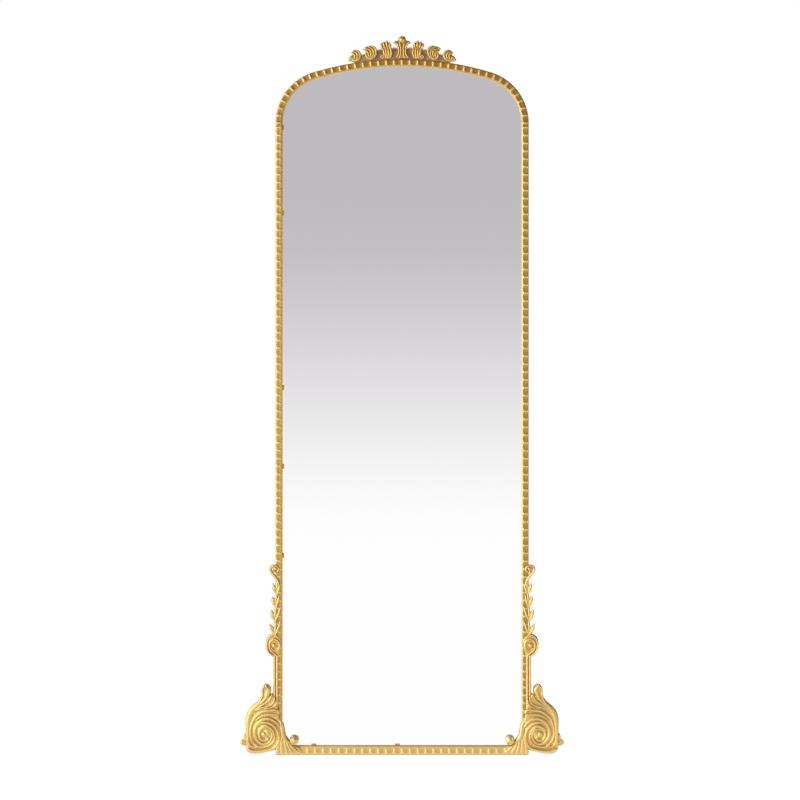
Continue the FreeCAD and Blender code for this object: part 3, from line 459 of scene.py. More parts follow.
def seat(piece, material, slot, *nodes):
    """Gives the piece its finish, makes it ride on the mirror and stand for its CAD nodes."""
    piece.data.materials.clear()
    piece.data.materials.append(material)
    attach(piece, BODY)
    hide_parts(*nodes)


def seat_pair(right, base, material, slot):
    """Seats a right-hand piece and its left-hand twin."""
    left = twin(right, base + "_left_cast")
    seat(right, material, slot, base + "_right")
    seat(left, material, slot, base + "_left")


def sheet_faces(rows, columns):
    """Faces of a grid of points, row by row."""
    index = np.arange(rows * columns).reshape(rows, columns)
    return np.stack([index[:-1, :-1], index[1:, :-1], index[1:, 1:], index[:-1, 1:]],
                    axis=-1).reshape(-1, 4)


def closed_plate(name, front, rear, quads):
    """Closed piece from a front and a back that hold the same points: both skins, and a wall
    wherever only one face of a skin meets an edge. The rims of both skins are sharp edges."""
    count = len(front)
    sides = np.stack([quads, np.roll(quads, -1, axis=1)], axis=2).reshape(-1, 2)
    keys = sides.min(1).astype(np.int64) * count + sides.max(1)
    _, first, times = np.unique(keys, return_index=True, return_counts=True)
    rim = sides[first[times == 1]]
    walls = np.stack([rim[:, 1], rim[:, 0], rim[:, 0] + count, rim[:, 1] + count], axis=1)
    made = new_piece(name, np.vstack([front, rear]),
                     np.vstack([quads, quads[:, ::-1] + count, walls]))
    mesh = made.data
    ends = np.empty(len(mesh.edges) * 2, np.int32)
    mesh.edges.foreach_get("vertices", ends)
    ends = ends.reshape(-1, 2).astype(np.int64)
    rims = np.sort(np.vstack([rim, rim + count]), axis=1)
    sharp = np.isin(ends.min(1) * 2 * count + ends.max(1), rims[:, 0] * 2 * count + rims[:, 1])
    mesh.attributes.new("sharp_edge", "BOOLEAN", "EDGE").data.foreach_set("value", sharp)
    return made


# ---------------------------------------------------------------- edge moulding

# Rows of points to each cell, columns across the moulding, how much painted shade, partly patina,
# darkens the finish in a cell, over what share of a cell that fades, and how much a painted
# highlight, partly rubbed gilding, pales it on a ridge
CELL_ROWS = 16
COLUMNS = 25
CELL_SHADE_AND_PATINA = 0.18
DARK_FADE = 0.2
RIDGE_HIGHLIGHT_AND_WEAR = 0.40


def head_edge(along):
    """Outer edge of the frame's head at each distance from the right springing, and the way out
    there: a leg, the shoulder arc, the crown arc, and the same on the left."""
    side = np.where(along > HALF_HEAD, -1.0, 1.0)
    s = np.where(along > HALF_HEAD, 2 * HALF_HEAD - along, along)
    crown_from = ARCH_LEG + SHOULDER_R * SHOULDER_TURN
    on_shoulder = s < crown_from
    small = ((s - ARCH_LEG) / SHOULDER_R).clip(0, SHOULDER_TURN)
    wide = SHOULDER_TURN + ((s - crown_from) / ARCH_R).clip(0, None)
    angle = np.where(on_shoulder, small, wide)
    radius = np.where(on_shoulder, SHOULDER_R, ARCH_R)
    x = np.where(on_shoulder, SHOULDER_X, 0.0) + radius * np.cos(angle)
    middle_z = np.where(on_shoulder, JOINT_Z + ARCH_LEG, CROWN_Z - ARCH_R)
    z = np.where(s < ARCH_LEG, JOINT_Z + s, middle_z + radius * np.sin(angle))
    return np.stack([side * x, z], -1), np.stack([side * np.cos(angle), np.sin(angle)], -1)


def stile_edge(side):
    """Outer edge of a stile at each distance down from the springing, and the way out there."""
    def edge(s):
        place = np.stack([np.full_like(s, side * HALF_WIDTH), JOINT_Z - s], -1)
        return place, np.stack([np.full_like(s, side), np.zeros_like(s)], -1)
    return edge


def foot_edge(s):
    """Lower edge of the foot rail at each distance from its left end, and the way out there."""
    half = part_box("bead_bottom")[1].x
    place = np.stack([s - half, np.full_like(s, FOOT_Z)], -1)
    return place, np.stack([np.zeros_like(s), np.full_like(s, -1.0)], -1)


def moulding(name, edge, length, first, across, rim, shade_level=0.62):
    """Strip of scooped cells laid on the frame's face.

    `edge(s)` gives the outer edge and the way out at each distance along; the first cell's middle
    is at `first`. With c and e the distances along and across from the nearest cell's middle, as
    shares of half its size, and q = (|c|^3 + |e|^3)^(1/3), the surface lies depth * (1 - q^2)^0.75
    below the top where q < 1. A ridge between two cells stands above the top as a parabola across
    it, and fades towards the moulding's edges as 1 - |e|^6. The outer and the inner edge fall away
    as quarter ellipses. The finish starts from `shade_level`, darkened in a cell by painted shade,
    partly standing for patina, and paled on a ridge by a painted highlight, partly rubbed gilding."""
    sizes = bpy.context.scene.mirror_moulding
    rows = np.arange(int(round(length / sizes.pitch * CELL_ROWS)) + 1) / CELL_ROWS * sizes.pitch
    rows = np.unique(np.append(rows[rows < length], length))
    cross = across * (1 - np.cos(np.linspace(0, math.pi, COLUMNS))) / 2
    s, d = np.meshgrid(rows, cross, indexing="ij")
    half_long = (sizes.pitch - sizes.ridge) / 2
    half_wide = sizes.cell / 2
    e = np.abs(d - rim - half_wide) / half_wide
    c = (s - first + sizes.pitch / 2) % sizes.pitch
    c = np.abs(c - sizes.pitch / 2) / half_long
    out_of_cell = (c ** 3 + e ** 3) ** (1 / 3)
    in_cell = (1 - out_of_cell ** 2).clip(0, 1) ** 0.75
    bar = (1 - ((c * half_long - sizes.pitch / 2) / (sizes.ridge / 2)) ** 2).clip(0, 1)
    bar = bar * (1 - e.clip(0, 1) ** 6)
    edge_out, edge_in = ((1 - (1 - (away / sizes.round).clip(0, 1)) ** 2) ** 0.5
                         for away in (d, across - d))
    height = (FRONT_Y - BEAD_Y - sizes.fall * (2 - edge_out - edge_in) - sizes.depth * in_cell
              + sizes.ridge_rise * bar)
    place, outward = edge(s)
    flat = place - d[..., None] * outward
    front = np.stack([flat[..., 0], FRONT_Y - height, flat[..., 1]], -1).reshape(-1, 3)
    rear = front.copy()
    rear[:, 1] = FRONT_Y
    made = closed_plate(name, front, rear, sheet_faces(*s.shape))
    in_hollow = ((1.04 - out_of_cell) / DARK_FADE).clip(0, 1)
    painted_shade_and_patina = (shade_level + CELL_SHADE_AND_PATINA * in_hollow - RIDGE_HIGHLIGHT_AND_WEAR * bar).ravel()
    add_painted_shade_and_patina(made, np.concatenate([painted_shade_and_patina, np.zeros(painted_shade_and_patina.size)]))
    if face_out(made) > 0:
        made.data.flip_normals()
    return made


def face_out(piece):
    """Sum of the faces' y directions weighted by area over the front half: negative when the
    front faces forwards."""
    count = len(piece.data.polygons) // 3
    normals = np.empty(len(piece.data.polygons) * 3, np.float32)
    piece.data.polygons.foreach_get("normal", normals)
    return float(normals.reshape(-1, 3)[:count, 1].sum())


class MIRROR_OT_moulding(bpy.types.Operator):
    """Lay the scooped moulding on the stiles, the head and the foot rail"""
    bl_idname = "mirror.moulding"
    bl_label = "Edge moulding"

    def execute(self, context):
        sizes = context.scene.mirror_moulding
        gold = gold_finish("moulding_gold", sheen=0.42)
        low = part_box("bead_right")[0].z
        for side, base in ((1, "right"), (-1, "left")):
            made = moulding(f"bead_{base}_cast", stile_edge(side), JOINT_Z - low,
                            sizes.pitch / 2, FACE, sizes.rim)
            seat(made, gold, "gilt_moulding", f"bead_{base}")
        # Painted shade: the head's gilding is set darker, for the weaker light at the top of the
        # frame
        made = moulding("bead_top_cast", head_edge, 2 * HALF_HEAD, HALF_HEAD + sizes.pitch / 2,
                        FACE, sizes.rim, shade_level=0.74)
        seat(made, gold, "gilt_moulding", "bead_top")
        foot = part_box("bead_bottom")
        # Painted light: the foot rail's gilding is set paler, for the stronger light near the floor
        made = moulding("bead_bottom_cast", foot_edge, 2 * foot[1].x, foot[1].x + sizes.pitch / 2,
                        foot[1].z - FOOT_Z, sizes.foot_rim, shade_level=0.40)
        seat(made, gold, "gilt_moulding", "bead_bottom")
        return {"FINISHED"}


# ---------------------------------------------------------------- corner castings
# Points are (outward from the frame's outer edge, up from the floor), drawn for the right side.

SEAM = [(-14.5, 104), (-13.5, 85), (-14.5, 65), (-13, 45), (-7.5, 30), (0, 17)]
SCROLL_OUTLINE = [
    [(0, 17), (9.5, 13.5), (24, 10), (39, 6.5), (54, 5), (69, 5.5), (80, 10), (86.5, 18),
     (87.5, 28), (86.5, 60), (87.5, 90), (86, 112), (82, 126), (75.5, 137), (66.5, 147),
     (55, 157), (45.5, 168), (41.5, 180), (41.5, 192), (39, 202), (32.5, 210), (25, 212),
     (17.5, 206), (13, 198), (12.5, 190)],
    [(12.5, 190), (15, 182), (16, 178)],
    [(16, 178), (13.5, 182), (10.5, 184.5)],
    [(10.5, 184.5), (5, 177), (1, 168), (-4, 156), (-8, 142), (-10.5, 128), (-11.5, 114),
     (-14.5, 104)],
    SEAM,
]
SCROLL_EYE = (34, 62)
SCROLL_DISH = (23, 63)
ACANTHUS_OUTLINE = [
    SEAM[::-1],
    [(-14.5, 104), (-21, 97), (-24, 85), (-25.5, 72), (-29, 58), (-34.5, 48), (-40.5, 41),
     (-46.5, 35)],
    [(-46.5, 35), (-54, 30), (-64, 27.5), (-73, 24)],
    [(-73, 24), (-76, 15), (-72, 6), (-64, 3)],
    [(-64, 3), (-1, 3)],
    [(-1, 3), (0, 17)],
]
BALL_AT = (-55.5, 44.5)
SIDE_LEAF_OUTLINE = [
    [(82, 68), (91, 64.5)],
    [(91, 64.5), (94.5, 57), (94.5, 48)],
    [(94.5, 48), (100, 46), (105, 40)],
    [(105, 40), (103, 33), (97, 28.5)],
    [(97, 28.5), (82, 29)],
    [(82, 29), (82, 68)],
]


# Each strand of the scroll: its ridge, and its half width at evenly spread places along it
SCROLL_STRANDS = [
    # out of the eye, over it, down the inner side and along under the coils
    ([(29, 60), (22, 51.5), (29, 45), (40, 46), (46, 53), (48.5, 64), (45, 76), (37, 84), (27, 87),
      (17, 83), (9, 75), (4.5, 64), (2.5, 54), (4, 45), (9, 37), (17, 31), (27, 27), (39, 25),
      (52, 27), (62, 32)],
     [5, 6.2, 5.6, 5.4, 6, 6.4, 6.8, 6.8, 6.4, 5.6, 5, 4.8, 4.8, 5, 5.2, 5.2, 5, 4.4, 3.5]),
    # from above the eye round its inner side, and out over the coil
    ([(29, 79), (19, 77), (12, 70), (9.5, 60), (12, 48), (20, 38), (32, 34), (44, 37), (54, 46),
      (60, 58), (61.5, 70), (59, 82), (52, 94), (42, 103), (31, 108), (19, 109), (7, 105),
      (-4, 97), (-12, 86)],
     [3.5, 4.4, 4.4, 4.4, 4.8, 5.6, 6.4, 6.8, 7, 7, 6.8, 6.6, 6.6, 6.6, 6.4, 6, 5.4, 5, 4.4]),
    # the short fork between the two, down to the foot of the scroll and out to the toe
    ([(53, 86), (48, 93), (39, 97.5), (28, 98), (17, 95.5), (7, 89.5), (-1, 81), (-7, 70),
      (-10, 58), (-10, 46), (-7, 36), (-1, 27.5), (8, 21), (20, 17), (36, 13.5), (52, 12), (67, 13),
      (79, 18)],
     [2, 4, 5, 6, 6, 5.8, 5.8, 6, 6, 5.8, 5.4, 5.2, 5.2, 5.4, 5.8, 6.4, 6.8, 5]),
    # the outer turn, from the stile over the top and down the outer side
    ([(-10, 125), (-7, 132), (2, 134.5), (14, 133.5), (26, 133), (38, 130), (49, 123),
      (59, 114), (67, 102), (72, 88), (74, 74), (74, 60), (71, 48), (64, 38), (54, 31)],
     [3, 4.6, 5.2, 5.8, 6.2, 6.2, 6.2, 6, 5.6, 5.2, 5, 5, 5, 4.4, 3.4]),
    ([(-5, 121), (8, 121.5), (22, 121), (35, 118.5), (47, 113), (57, 104)],
     [3, 5, 5.8, 5.8, 4.6, 2.5]),
    # the outer body, which climbs from the toe and ends as the flame's outer lip
    ([(52, 25), (64, 25.5), (74, 30), (80.5, 41), (81.5, 56), (81.5, 75), (81, 95), (78.5, 111),
      (73.5, 125), (66, 136.5), (56.5, 147), (48, 157), (42, 168), (38.5, 180), (38.5, 193),
      (35, 203), (28, 208)],
     [3, 4.6, 5.4, 6, 6.2, 6.6, 7.4, 8.6, 9.8, 10.2, 9.4, 7.6, 5.4, 3.8, 3, 3, 2.6]),
    # the flame itself, hooked over a hollow
    ([(27, 204), (21.5, 196), (23.5, 184), (28, 173), (34.5, 163.5), (44, 154), (54, 145)],
     [5, 8, 7.4, 6, 5.2, 4.6, 4]),
    # the three lower flames
    ([(11, 183), (12, 176), (16, 168.5), (22, 161), (30, 155), (40, 149), (50, 142), (59, 134)],
     [1.2, 3, 4, 4.4, 4.4, 4.2, 4, 3]),
    ([(3, 176), (2.5, 168), (4.5, 160), (10, 153), (18, 147.5), (29, 144), (42, 141),
      (54, 134)], [1.5, 3, 3.8, 4, 4, 3.8, 3.5, 2.5]),
    ([(-3, 165), (-3, 156), (2, 147.5), (10, 142.5), (20, 140.5), (33, 138.5)],
     [1.5, 3, 3.2, 3, 2.6, 2]),
]


def scroll_forms(body, rise):
    """Rolled plate under half-round strands, with a low dish and a knob in the eye."""
    strands = [reed(mm(path), mm(widths), body - 0.0015, 0.0015 + rise)
               for path, widths in SCROLL_STRANDS]
    return [blank(mm(closed(SCROLL_OUTLINE)), 0.0045, body, 0.006), *strands,
            knob(mm(SCROLL_DISH), mm((13, 15)), body - 0.001, 0.001 + 0.8 * rise),
            knob(mm(SCROLL_EYE), mm((8.5, 9)), body - 0.001, 0.0015 + 1.15 * rise)]


# Fingers of the fan leaf: the broad inner edge, the plain one beside the seam, and four between
ACANTHUS_STRANDS = [
    ([(-14, 102), (-18.5, 88), (-20.5, 72), (-23.5, 57), (-30.5, 46), (-40, 37.5)],
     [3, 6, 6.8, 7, 6.4, 4]),
    ([(-13, 62), (-12.5, 46), (-9.5, 31), (-7, 18), (-6.5, 9)], [3, 5, 6, 6.6, 6]),
    ([(-19, 52), (-18.5, 36), (-19, 20), (-20, 8.4)], [3, 5.6, 6.2, 5.4]),
    ([(-26.5, 46), (-28.5, 32), (-31.5, 18), (-34, 8)], [3, 5, 5.8, 5]),
    ([(-33.5, 40), (-38.5, 28), (-44.5, 17), (-49.5, 8)], [3, 4.8, 5.6, 4.4]),
    ([(-41, 34), (-50, 25), (-59, 17), (-68, 10)], [3, 4.8, 5.4, 3.6]),
]


def acanthus_forms(body, rise):
    """Rolled plate under fingers that swell in the middle, with a ball that curls over it."""
    swell = rise * np.array([0.5, 0.9, 1.0, 0.9, 0.6])
    strands = [reed(mm(path), mm(widths), 0.75 * body, swell) for path, widths in ACANTHUS_STRANDS]
    return [blank(mm(closed(ACANTHUS_OUTLINE)), 0.0035, 0.85 * body, 0.006), *strands,
            reed(mm([(-46, 30), (-50, 36), (-54, 44)]), mm([7, 5]), 0.3 * body, 0.6 * body),
            knob(mm(BALL_AT), mm((13.5, 13.5)), body, 0.0115),
            reed(mm([(-49, 54), (-46.5, 45), (-51, 36.5), (-59, 34.5), (-65, 39)]),
                 mm([2, 3.4, 4, 3.6, 2]), body + 0.004, 0.0066)]


def side_leaf_forms():
    """Thin rolled plate with three ribs that spread from its foot."""
    return [
        blank(mm(closed(SIDE_LEAF_OUTLINE)), 0.001, 0.0035, 0.005),
        reed(mm([(80, 36), (86, 47), (90, 60)]), mm([3, 3.5, 2]), 0.0025, 0.0028),
        reed(mm([(80, 32), (92, 38), (100, 44)]), mm([3, 3.8, 2]), 0.0025, 0.0028),
        reed(mm([(82, 30), (92, 31), (100, 35)]), mm([2, 2.5, 1.5]), 0.0025, 0.002),
    ]


class MIRROR_OT_corners(bpy.types.Operator):
    """Model the scroll, the fan leaf and the side leaf at each foot corner"""
    bl_idname = "mirror.corners"
    bl_label = "Corner castings"

    def execute(self, context):
        sizes = context.scene.mirror_castings
        gold = gold_finish("casting_gold", sheen=0.44)
        beside_stile = [(0.0, 0.0), (0.0004, sizes.back)]
        half_back = [(-1, sizes.back / 2), (1, sizes.back / 2)]
        for base, forms, step, back in (
                ("corner_scroll", scroll_forms(sizes.body, sizes.rib), sizes.step, beside_stile),
                ("corner_acanthus", acanthus_forms(sizes.body, sizes.rib), sizes.step, FLAT_BACK),
                ("side_leaf", side_leaf_forms(), sizes.small_step, half_back)):
            made = relief(base + "_right_cast", forms, step, back)
            seat_pair(made, base, gold, "gilt_casting")
        return {"FINISHED"}


# ---------------------------------------------------------------- castings on the stile

VOLUTE_OUTLINE = [
    [(-8.9, 293), (7, 293)],
    [(7, 293), (15, 299), (22, 306), (27.5, 316), (29, 330), (27, 344), (21.5, 354),
     (12.5, 359), (4, 362)],
    [(4, 362), (-3.5, 357), (-11.5, 350), (-16, 340), (-16.5, 328), (-15, 316), (-11.5, 305),
     (-8.9, 293)],
]
VOLUTE_EYE = (4.5, 325.5)
# Foot, outer tip and inner tip of each husk, from the lowest up
HUSKS = [((1, 355), (16, 389), (-14.5, 398)), ((1, 396), (12.5, 431), (-14.5, 439)),
         ((-1.5, 437), (9, 471), (-11, 475)), ((-4, 475), (6.5, 509), (-12.5, 507))]


def ring_path(centre, radius):
    """Circle round the centre."""
    turn = np.linspace(0, 2 * math.pi, 33)[:, None]
    return mm(centre + radius * np.hstack([np.cos(turn), np.sin(turn)]))


def stem_forms():
    """Two straight reeds side by side."""
    return [reed(mm([(out, 140), (out, 215), (out, 294)]), 0.0042, 0.002, 0.0042)
            for out in (-4.7, 3.3)]


def volute_forms():
    """The stem's two reeds, coiled over a thin plate round a knob."""
    return [
        blank(mm(closed(VOLUTE_OUTLINE)), 0.0015, 0.003, 0.004),
        reed(mm([(3.3, 292), (11, 297.5), (18.5, 303.5), (23.5, 311.5), (25.5, 322), (25, 335),
                 (21.5, 346), (14.5, 353.5), (5, 357)]),
             mm([4, 3.6, 3.4, 3.4, 3.4, 3.6, 3.6, 3.4, 2.4]), 0.002, 0.0042),
        reed(mm([(-4.7, 291), (-1, 298.5), (6, 304), (12, 308.5), (16.5, 315.5), (18, 325),
                 (16, 335), (9.5, 342), (1.5, 343.5), (-6.5, 339.5), (-11, 331), (-11, 320),
                 (-6, 312.5), (2, 309.5), (8, 312), (11, 317)]),
             mm([4, 4, 4, 4, 4, 4.2, 4.4, 4.6, 4.8, 4.8, 4.4, 4, 3.8, 3.6, 3.4, 3.2]),
             0.002, 0.0042),
        knob(mm(VOLUTE_EYE), mm((7.2, 7.4)), 0.003, 0.0062),
    ]


def petal(foot, tip, bulge, widths, rise):
    """Petal from the foot to the tip, bowed sideways by `bulge`."""
    foot, tip = np.array(foot, float), np.array(tip, float)
    way = tip - foot
    aside = np.array([-way[1], way[0]]) / np.hypot(*way) * bulge
    path = [foot, foot + 0.33 * way + aside, foot + 0.68 * way + 0.9 * aside, tip]
    return reed(mm(path), mm(widths), 0.0012, rise)


def husk_forms(foot, outer, inner, share):
    """Cup of two pointed petals that open upwards round the foot of the next one."""
    lift = 0.0050 * np.array([0.6, 1.0, 1.0, 0.6]) * share
    next_foot = (foot[0] - 1, foot[1] + 40)
    return [
        petal(foot, next_foot, 0, [3.4, 4.6, 4.4, 2.8], 0.7 * lift),
        petal((foot[0] + 1, foot[1] + 4), outer, -2.2, [3, 5.0, 4.6, 1.6], lift),
        petal((foot[0] + 1, foot[1] + 8), outer, 1.2, [2, 3.4, 3.0, 1.0], 0.8 * lift),
        petal((foot[0] - 1, foot[1] + 4), inner, 0.8, [2.8, 4.3, 4.2, 1.6], 1.15 * lift),
    ]


def hook_forms():
    """Reed that leans out and curls back over a low disc with a knob on it."""
    return [
        reed(mm([(-9, 506), (-7.5, 514), (-3, 523), (4, 533), (11, 541), (15, 549), (14.5, 556),
                 (8.5, 561), (0.5, 561.5), (-6.5, 557.5), (-8.8, 550.5), (-5.5, 544.5),
                 (0.5, 543.5), (4.5, 548)]),
             mm([3, 4, 4.4, 4.6, 4.6, 4.3, 4, 4, 4, 3.8, 3.5, 3.2, 2.8, 2.4]), 0.001, 0.0046),
        knob(mm((3, 552)), mm((10, 10)), 0.0008, 0.0022),
        knob(mm((0.5, 553)), mm((5.2, 5.4)), 0.001, 0.0072),
    ]


class MIRROR_OT_stile_castings(bpy.types.Operator):
    """Model the stem, the volute, the husks and the hook that climb each stile"""
    bl_idname = "mirror.stile_castings"
    bl_label = "Stile castings"

    def execute(self, context):
        step = context.scene.mirror_castings.small_step
        gold = bpy.data.materials["casting_gold"]
        husks = [form for count, places in enumerate(HUSKS)
                 for form in husk_forms(*places, 1 - 0.06 * count)]
        for base, forms in (("stem", stem_forms()), ("volute", volute_forms()),
                            ("husk_chain", husks), ("top_hook", hook_forms())):
            made = relief(base + "_right_cast", forms, step)
            seat_pair(made, base, gold, "gilt_casting")
        return {"FINISHED"}


# ---------------------------------------------------------------- crest
# Points are (outward from the centre line, up from the top of the frame), drawn for the right.

# Right half of the palmette, then the outline of each leaf
PALMETTE_HALF = [
    [(17, 2), (15, 9), (10, 15), (9, 22), (10, 31), (13, 38), (18, 43), (26.5, 47.5)],
    [(26.5, 47.5), (21, 52.5), (15, 54), (11, 54)],
    [(11, 54), (0, 66)],
]
INNER_LEAF = [
    [(33, 2), (29, 12), (29.5, 24), (32, 33), (32, 40), (35, 46.5), (38.5, 48.5)],
    [(38.5, 48.5), (40.5, 46.5)],
    [(40.5, 46.5), (42.5, 51.5), (46.5, 53.8), (50, 49)],
    [(50, 49), (54, 51), (58, 49.5), (59.5, 45.5)],
    [(59.5, 45.5), (63, 46), (64.5, 44)],
    [(64.5, 44), (62, 34), (58, 24), (57, 14), (53, 4), (44, 0), (33, 2)],
]
MIDDLE_LEAF = [
    [(93.5, -2), (84, 4), (76, 12), (73.5, 20), (76, 30), (82, 37), (90, 39.5), (99, 38),
     (108, 35), (116, 30)],
    [(116, 30), (111, 24), (107, 20)],
    [(107, 20), (110, 12), (109, 6), (105, 1)],
    [(105, 1), (99, -1.5), (93.5, -2)],
]
OUTER_LEAF = [
    [(142.5, -9), (133, -5), (124, 3), (121, 11.5), (124, 20), (131, 26), (138.5, 27),
     (146, 24), (151.5, 18)],
    [(151.5, 18), (148.5, 15.5), (147, 12)],
    [(147, 12), (153, 8), (158, 2), (161, -6)],
    [(161, -6), (155, -7.5), (149, -7.5), (142.5, -9)],
]
# The web's top from its end to the middle, and the bars that link the leaves. Then how far above
# the crown the web starts, in mm, how deep it is, and how far it is set back.
WEB_TOP = [(143, -4), (137, 7), (121, 11), (106, 14.5), (90, 22), (75, 25), (67, 27), (45, 32),
           (34, 32), (0, 33)]
LINKS = [[(11, 30), (23, 32.5), (34, 30)], [(60, 27), (70, 26.5), (78, 25)],
         [(104, 15), (113, 13), (124, 11)]]
WEB_GAP = 0.2
WEB_BACK = 0.005
WEB_SET_BACK = 0.003


def palmette_forms(body):
    """Rolled plate with a flute and a leaf's rib on each side, and a bud on its top."""
    half = [mm(run) for run in PALMETTE_HALF]
    runs = half + [flipped(run)[::-1] for run in half[::-1]]
    flute = mm([(11, 54), (7.4, 47), (5.2, 39), (4.1, 30), (4.0, 20), (4.8, 11), (6.8, 4)])
    leaf = mm([(22, 48.5), (16.5, 46.5), (12.6, 40), (10.4, 32), (9.9, 23), (11.2, 15), (14, 9),
               (17, 5)])
    strands = [reed(side, mm(widths), body - 0.001, rise) for path, widths, rise in (
        (flute, [2.2, 3, 3.2, 3, 3, 3.2, 2.6], 0.0036),
        (leaf, [2, 3.2, 3.4, 3, 3, 3.2, 3.4, 2.6], 0.0032)) for side in (path, flipped(path))]
    return [blank(closed(runs), 0.004, body, 0.004),
            knob(mm((0, 56.8)), mm((11.6, 11.6)), body - 0.001, 0.0105), *strands]


def leaf_forms(outline, ribs, body):
    """Rolled plate with ribs that swell in the middle of their length."""
    widths = 3.7 * mm([0.8, 1, 1, 0.8])
    rise = 3.0 * mm([0.6, 1, 1, 0.7])
    return [blank(mm(closed(outline)), 0.004, body, 0.004)] + [
        reed(mm(path), widths, body - 0.001, rise) for path in ribs]


INNER_LEAF_RIBS = [[(34.5, 7), (32.2, 17), (33.5, 28), (35.5, 33)],
                   [(42.5, 4), (40, 15), (41, 28), (42, 33)],
                   [(48.5, 4), (47, 15), (48, 26), (49, 32)],
                   [(53, 7), (53.2, 17), (55.5, 27), (56, 30)],
                   [(37, 34), (37, 40), (37.5, 46.5)], [(44, 35), (45.3, 43), (45.8, 51.5)],
                   [(51, 33), (54, 41), (55.2, 48.5)], [(57.5, 30), (60.5, 36), (63, 42.5)]]
MIDDLE_LEAF_RIBS = [[(92, 0), (81, 9), (77, 20), (80, 31), (88, 36.5)],
                    [(95, 0.5), (87, 9), (84, 20), (89, 30), (98, 35)],
                    [(98, 1), (92.5, 10), (92, 20), (98, 28), (110, 30.5)],
                    [(102, 2), (99, 11), (100, 18), (106, 23)],
                    [(104, 3), (106, 9), (106, 15)]]
OUTER_LEAF_RIBS = [[(140, -6), (129, 0), (124.5, 10), (128, 20), (135, 24)],
                   [(142, -5), (134.5, 2), (132, 11), (137, 19), (145, 21)],
                   [(144, -4), (140.5, 4), (141, 12), (147, 16.5)],
                   [(146, -4), (148, 3), (153, 2), (157, -4)]]



def web_outline():
    """Outline of the web: along the head's crown, a little above it, and back over its own uneven
    top."""
    low = np.linspace(-1, 1, 41) * WEB_TOP[0][0]
    crown = (np.sqrt(ARCH_R ** 2 - (low * MM) ** 2) - ARCH_R) / MM
    under = np.stack([low, crown + WEB_GAP], -1)
    return mm(np.vstack([under, smooth(WEB_TOP)[1:], smooth(flipped(WEB_TOP)[::-1])[1:]]))


class MIRROR_OT_crest(bpy.types.Operator):
    """Model the palmette, the leaves, the link bars and the web on the head"""
    bl_idname = "mirror.crest"
    bl_label = "Crest"

    def execute(self, context):
        sizes = context.scene.mirror_castings
        gold = bpy.data.materials["casting_gold"]
        # Painted shade: the crest's gilding is set darker, for the weaker light at the top, and
        # FINE_SHADE paints stronger shade and highlight into its small creases and ribs
        fine = {"origin": TOP, "shade_level": 0.84, "shade": FINE_SHADE}
        made = relief("crest_palmette_cast", palmette_forms(sizes.crest), sizes.small_step, **fine)
        seat(made, gold, "gilt_casting", "crest_palmette")
        curl = [reed(ring_path((59, 6), 4.2), 0.0026, 0.004, 0.005),
                knob(mm((59, 6)), mm((3.8, 3.8)), 0.004, 0.004)]
        for base, outline, ribs, more in (
                ("crest_leaf_inner", INNER_LEAF, INNER_LEAF_RIBS, curl),
                ("crest_leaf_middle", MIDDLE_LEAF, MIDDLE_LEAF_RIBS, []),
                ("crest_leaf_outer", OUTER_LEAF, OUTER_LEAF_RIBS, [])):
            made = relief(base + "_right_cast", leaf_forms(outline, ribs, sizes.crest) + more,
                          sizes.small_step, **fine)
            seat_pair(made, base, gold, "gilt_casting")
        bars = [reed(side, 0.0025, 0.0, 0.006) for path in LINKS
                for side in (mm(path), flipped(mm(path)))]
        made = relief("crest_links_cast", bars, sizes.small_step, origin=TOP)
        seat(made, gold, "gilt_casting", "crest_links")
        made = relief("crest_web_cast", [blank(web_outline(), 0.001, 0.0016, 0.004)],
                      sizes.coarse_step, [(-1, WEB_BACK), (1, WEB_BACK)], TOP,
                      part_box("crest_web")[0].y + WEB_SET_BACK)
        seat(made, web_finish(), "dull_web", "crest_web")
        return {"FINISHED"}


# ---------------------------------------------------------------- finishes

def colour(rgb):
    """Colour as a socket holds it."""
    return (*rgb, 1.0)


def darker(rgb, share):
    """Darker tone of a colour."""
    return [c * share for c in rgb]


class Nodes:
    """Node tree that is built up step by step."""

    def __init__(self, tree):
        self.tree = tree

    def add(self, kind, inputs=(), **settings):
        """New node, with its settings made before its sockets are put."""
        node = self.tree.nodes.new(kind)
        for key, value in settings.items():
            setattr(node, key, value)
        for socket, value in dict(inputs).items():
            self.put(node.inputs[socket], value)
        return node

    def put(self, socket, value):
        """Links the socket to another one, or sets its value."""
        if isinstance(value, bpy.types.NodeSocket):
            self.tree.links.new(value, socket)
        else:
            socket.default_value = value

    def ranged(self, value, low, high, to_low=0.0, to_high=1.0):
        """The value's range from low to high, carried over and held between the other two."""
        return self.add("ShaderNodeMapRange", {
            "Value": value, "From Min": low, "From Max": high, "To Min": to_low,
            "To Max": to_high}).outputs["Result"]

    def calc(self, operation, a, b):
        """Sum, product or greater of two values."""
        return self.add("ShaderNodeMath", {0: a, 1: b}, operation=operation).outputs[0]

    def mix(self, share, a, b, **settings):
        """Colour a, and b by its share."""
        return self.add("ShaderNodeMix", {0: share, 6: a, 7: b}, data_type="RGBA",
                        **settings).outputs[2]


